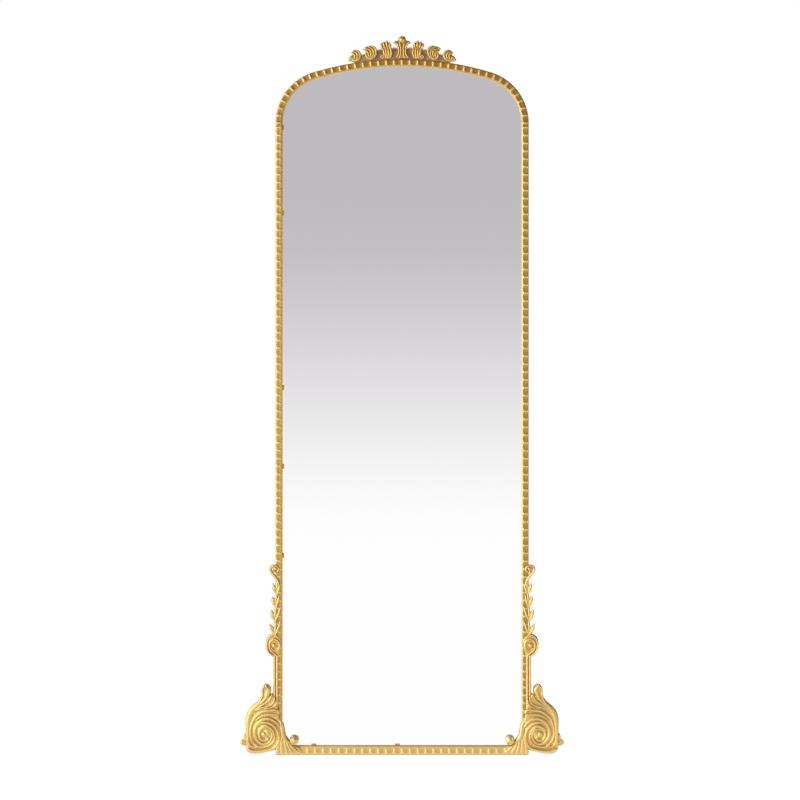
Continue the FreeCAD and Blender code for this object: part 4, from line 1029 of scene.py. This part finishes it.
class Finish(Nodes):
    """Node material on Object coordinates."""

    def __init__(self, name):
        self.material = bpy.data.materials.new(name)
        self.material.use_nodes = True
        super().__init__(self.material.node_tree)
        self.shader = self.tree.nodes["Principled BSDF"]
        self.place = self.add("ShaderNodeTexCoord").outputs["Object"]

    def noise(self, scale, detail=3.0, stretch=(1, 1, 1)):
        """Even noise in the object's own space, from 0 to 1."""
        place = self.add("ShaderNodeMapping", {"Vector": self.place, "Scale": stretch})
        return self.add("ShaderNodeTexNoise", {"Vector": place.outputs[0], "Scale": scale,
                                               "Detail": detail}).outputs["Fac"]

    def bump(self, height, distance):
        """Fine relief of the surface."""
        node = self.add("ShaderNodeBump", {"Height": height, "Distance": distance, "Strength": 1.0})
        self.put(self.shader.inputs["Normal"], node.outputs[0])

    def set(self, **inputs):
        """Sets the shader's sockets, named with _ for a space, and gives back the material."""
        for key, value in inputs.items():
            self.put(self.shader.inputs[key.replace("_", " ")], value)
        return self.material


def gold_finish(name, sheen, shaded=True, shade_level=0.5):
    """Gilding: pale on the ridges, a painted highlight that partly stands for rubbed gilding, gold
    on the broad places, and dark in the hollows, painted shade with some patina, by the
    painted_shade_and_patina attribute where the mesh has one."""
    tones = bpy.context.scene.mirror_colours
    f = Finish(name)
    painted_shade_and_patina = shade_level
    if shaded:
        painted_shade_and_patina = f.add("ShaderNodeAttribute", attribute_name="painted_shade_and_patina").outputs["Fac"]
    spots = f.noise(180)
    # Random spots shift the painted shade and highlight a little, as uneven wear
    painted_shade_and_wear = f.calc("ADD", painted_shade_and_patina, f.ranged(spots, 0.3, 0.7, -0.07, 0.07))
    pale_to_gold = f.mix(f.ranged(painted_shade_and_wear, 0.08, 0.5), colour(tones.ridge), colour(tones.gold))
    gold = f.mix(f.ranged(painted_shade_and_wear, 0.5, 0.95), pale_to_gold, colour(tones.painted_shade_and_patina))
    f.bump(f.noise(90, 2), 0.00012)
    return f.set(Base_Color=gold, Metallic=0.97, Coat_Weight=0.35, Coat_Roughness=0.35,
                 Roughness=f.ranged(spots, 0.3, 0.7, sheen - 0.03, sheen + 0.05))


def web_finish():
    """Dull backing of the crest, its dark brown partly painted shade of its recess behind the
    leaves, with a little gold rubbed on it.
    """
    tones = bpy.context.scene.mirror_colours
    f = Finish("crest_web_dull")
    rubbed = f.ranged(f.noise(90), 0.45, 0.7, 0.0, 0.45)
    f.bump(f.noise(300), 0.0004)
    return f.set(Base_Color=f.mix(rubbed, colour(tones.web), colour(tones.gold)), Metallic=0.35,
                 Roughness=0.55)


def mirror_finish():
    """Silvered glass, with a tint too faint to see."""
    silver = bpy.context.scene.mirror_colours.silver
    f = Finish("silvered_glass")
    tint = f.mix(f.noise(1.5, 1), colour(silver), colour([0.995 * c for c in silver]))
    return f.set(Base_Color=tint, Metallic=1.0, Roughness=0.0)


def speckled_finish(name, light, dark, scale, roughness, bump, metallic=0.0, stretch=(1, 1, 1)):
    """Two tones mixed by noise, with the same noise as a fine relief."""
    f = Finish(name)
    grain = f.noise(scale, 5, stretch)
    f.bump(grain, bump)
    return f.set(Base_Color=f.mix(f.ranged(grain, 0.3, 0.7), colour(dark), colour(light)),
                 Metallic=metallic, Roughness=roughness)


class MIRROR_OT_finishes(bpy.types.Operator):
    """Finish the frame, the glass and all that is behind it"""
    bl_idname = "mirror.finishes"
    bl_label = "Finishes"

    def execute(self, context):
        tones = context.scene.mirror_colours
        finishes = {
            "gilt_frame": gold_finish("frame_gold", sheen=0.42, shaded=False),
            "gilt_moulding": bpy.data.materials["moulding_gold"],
            "gilt_casting": bpy.data.materials["casting_gold"],
            "dull_web": bpy.data.materials["crest_web_dull"],
            "mirror": mirror_finish(),
            "film": speckled_finish("safety_film_grey", (0.30, 0.31, 0.33), (0.22, 0.23, 0.25),
                                    60, 0.5, 0.0002),
            "felt": speckled_finish("felt_brown", (0.10, 0.07, 0.05), (0.045, 0.03, 0.02),
                                    900, 0.95, 0.0004),
            "board": speckled_finish("fibre_board", tones.board, darker(tones.board, 0.6), 350, 0.8,
                                     0.0003, stretch=(1, 1, 0.5)),
            "batten": speckled_finish("softwood", tones.wood, darker(tones.wood, 0.62), 55, 0.6,
                                      0.0003, stretch=(0.08, 1, 1)),
            "rubber_pads": speckled_finish("black_rubber", (0.035, 0.034, 0.033),
                                           (0.016, 0.016, 0.016), 700, 0.75, 0.0002),
            "zinc_steel": speckled_finish("zinc_steel", tones.steel, darker(tones.steel, 0.7), 160,
                                          0.36, 0.00005, metallic=1.0),
        }
        for part in frame["record"]["subparts"]:
            node = frame["nodes"][part["node"]]
            node.data.materials.clear()
            node.data.materials.append(finishes[part["material_slot"]])
        frame["nodes"]["glass_tabs"].data.materials[0] = gold_finish(
            "tab_gold", sheen=0.5, shaded=False, shade_level=0.75)
        return {"FINISHED"}


# ---------------------------------------------------------------- stage

# Each lamp's place, what it is turned to, its side and its power at a strength of 1
LAMPS = {"key": ((-3.3, -3.0, 1.3), (0, 0, 0.3), 4.4, 74),
         "fill": ((3.4, -2.6, 1.4), (0, 0, 0.8), 1.2, 8),
         "back": ((0.5, 3.4, 3.0), (0, 0, 1.0), 2.0, 26)}

# What the glass shows straight ahead, by how far up the ray goes: a white floor that runs into a
# grey wall, which keeps the stage's own grey from the last stop on
WALL = [(-0.06, 1.0), (-0.044, 0.99), (-0.037, 0.965), (-0.030, 0.94), (-0.0185, 0.888),
        (0.0, 0.79), (0.0185, 0.70), (0.037, 0.615), (0.055, 0.55)]
WALL_GREY_FROM = 0.074
WALL_TOP = 0.15

# What the gilding shows, by how far a ray goes to the right and by how far it goes up
ACROSS = [(-1.0, 0.70), (-0.85, 1.0), (-0.4, 1.0), (-0.15, 0.60), (0.15, 0.31), (0.5, 0.21),
          (0.8, 0.11), (1.0, 0.09)]
UPRIGHT = [(-1.0, 0.6), (-0.35, 0.75), (-0.05, 0.9), (0.15, 0.72), (0.45, 0.72), (0.8, 0.8),
           (1.0, 0.6)]

# How far a ray goes back (y of its way): up to the first it is one that the glass shows to the
# camera, from the second on it is any other
AHEAD = (-0.985, -0.95)


class MIRROR_OT_stage(bpy.types.Operator):
    """Set up the floor, the studio's light and the camera"""
    bl_idname = "mirror.stage"
    bl_label = "Stage"

    def execute(self, context):
        stage = context.scene.mirror_stage
        self.floor()
        self.sky(context.scene, stage)
        for name, (place, aim, side, power) in LAMPS.items():
            self.lamp(name, place, aim, side, power * stage.lamps)
        camera = bpy.data.cameras.new("camera")
        camera.sensor_width = 36.0
        camera.lens = camera.sensor_width * stage.distance / stage.view_width
        camera.clip_end = 200
        seen = bpy.data.objects.new("camera", camera)
        seen.location = (-stage.aside, BEAD_Y - stage.distance, stage.height)
        seen.rotation_euler = (math.pi / 2, 0, 0)
        context.scene.collection.objects.link(seen)
        context.scene.camera = seen
        context.scene.view_settings.view_transform = "Standard"
        return {"FINISHED"}

    def lamp(self, name, place, aim, side, power):
        """Square lamp, turned to what it aims at."""
        light = bpy.data.lights.new(name, "AREA")
        light.size = side
        light.energy = power
        lamp = bpy.data.objects.new(name, light)
        lamp.location = place
        way = Vector(aim) - Vector(place)
        lamp.rotation_euler = way.to_track_quat("-Z", "Y").to_euler()
        bpy.context.scene.collection.objects.link(lamp)

    def floor(self):
        """Plain floor that keeps the object's shadow, and is white for the camera and in what
        metal and glass show."""
        reach = 9.0
        corners = reach * np.array([(-1, -1, 0), (1, -1, 0), (1, 1, 0), (-1, 1, 0)])
        floor = new_piece("floor", corners, np.array([[0, 1, 2, 3]]))
        f = Finish("floor_white")
        grain = f.noise(40, 2)
        f.set(Base_Color=f.mix(grain, (0.80, 0.80, 0.80, 1), (0.82, 0.82, 0.82, 1)),
              Roughness=0.9, Specular_IOR_Level=0.0)
        path = f.add("ShaderNodeLightPath").outputs
        seen = path["Is Camera Ray"]
        strength = f.calc("ADD", f.calc("MULTIPLY", seen, 0.30), 1.0)
        white = f.add("ShaderNodeEmission", {"Color": (1, 1, 1, 1), "Strength": strength})
        shown = f.calc("ADD", path["Is Glossy Ray"], path["Is Transmission Ray"])
        share = f.calc("MAXIMUM", f.calc("MULTIPLY", seen, 0.65), shown)
        lit = f.add("ShaderNodeMixShader", {0: share, 1: f.shader.outputs[0],
                                            2: white.outputs[0]})
        f.put(f.tree.nodes["Material Output"].inputs[0], lit.outputs[0])
        floor.data.materials.append(f.material)

    def sky(self, scene, stage):
        """White for the camera; the studio's grey wall above a white floor in what the glass
        shows; a bright left and a darker right in what the gilding shows."""
        world = bpy.data.worlds.new("studio")
        world.use_nodes = True
        scene.world = world
        n = Nodes(world.node_tree)

        def ramp(value, stops, tint=0.0):
            """Grey ramp from the first stop to the last; `tint` takes green out of its darker
            greys."""
            low, high = stops[0][0], stops[-1][0]
            node = n.add("ShaderNodeValToRGB", {0: n.ranged(value, low, high)})
            held = node.color_ramp.elements
            held[0].position, held[1].position = 0.0, 1.0
            for at, level in stops:
                share = (at - low) / (high - low)
                stop = held[0] if share <= 0 else held[-1] if share >= 1 else held.new(share)
                stop.color = (level, level * (1 - tint * (1 - level)), level, 1)
            return node.outputs[0]

        way = n.add("ShaderNodeSeparateXYZ", {
            0: n.add("ShaderNodeTexCoord").outputs["Generated"]}).outputs
        wall = ramp(way["Z"], [*WALL, (WALL_GREY_FROM, stage.sky), (WALL_TOP, stage.sky)], 0.08)
        studio = n.mix(1.0, ramp(way["X"], ACROSS), ramp(way["Z"], UPRIGHT),
                       blend_type="MULTIPLY")
        ahead = ramp(way["Y"], [(AHEAD[0], 0.0), (AHEAD[1], 1.0)])
        path = n.add("ShaderNodeLightPath").outputs
        lit = n.mix(path["Is Glossy Ray"], (0.55, 0.55, 0.56, 1), n.mix(ahead, wall, studio))
        seen = n.mix(path["Is Camera Ray"], lit, (1, 1, 1, 1))
        back = n.tree.nodes["Background"]
        n.put(back.inputs["Color"], seen)
        back.inputs["Strength"].default_value = 1.0


# ---------------------------------------------------------------- add-on

OPERATORS = (MIRROR_OT_moulding, MIRROR_OT_corners, MIRROR_OT_stile_castings, MIRROR_OT_crest,
             MIRROR_OT_finishes, MIRROR_OT_stage)


class MIRROR_PT_panel(bpy.types.Panel):
    """Lists the operators and the settings"""
    bl_label = "Arched Floor Mirror"
    bl_space_type = "VIEW_3D"
    bl_region_type = "UI"
    bl_category = "Mirror"

    def draw(self, context):
        for operator in OPERATORS:
            self.layout.operator(operator.bl_idname)
        for name in SETTINGS:
            box = self.layout.box()
            settings = getattr(context.scene, name)
            for key in settings.bl_rna.properties.keys():
                if key not in ("rna_type", "name"):
                    box.prop(settings, key)


def register():
    for cls in (*SETTINGS.values(), *OPERATORS, MIRROR_PT_panel):
        bpy.utils.register_class(cls)
    for name, cls in SETTINGS.items():
        setattr(bpy.types.Scene, name, bpy.props.PointerProperty(type=cls))


def unregister():
    for name in SETTINGS:
        delattr(bpy.types.Scene, name)
    for cls in (MIRROR_PT_panel, *reversed(OPERATORS), *SETTINGS.values()):
        bpy.utils.unregister_class(cls)


def main():
    """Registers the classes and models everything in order."""
    register()
    for operator in OPERATORS:
        group, name = operator.bl_idname.split(".")
        getattr(getattr(bpy.ops, group), name)()


if __name__ == "__main__":
    main()
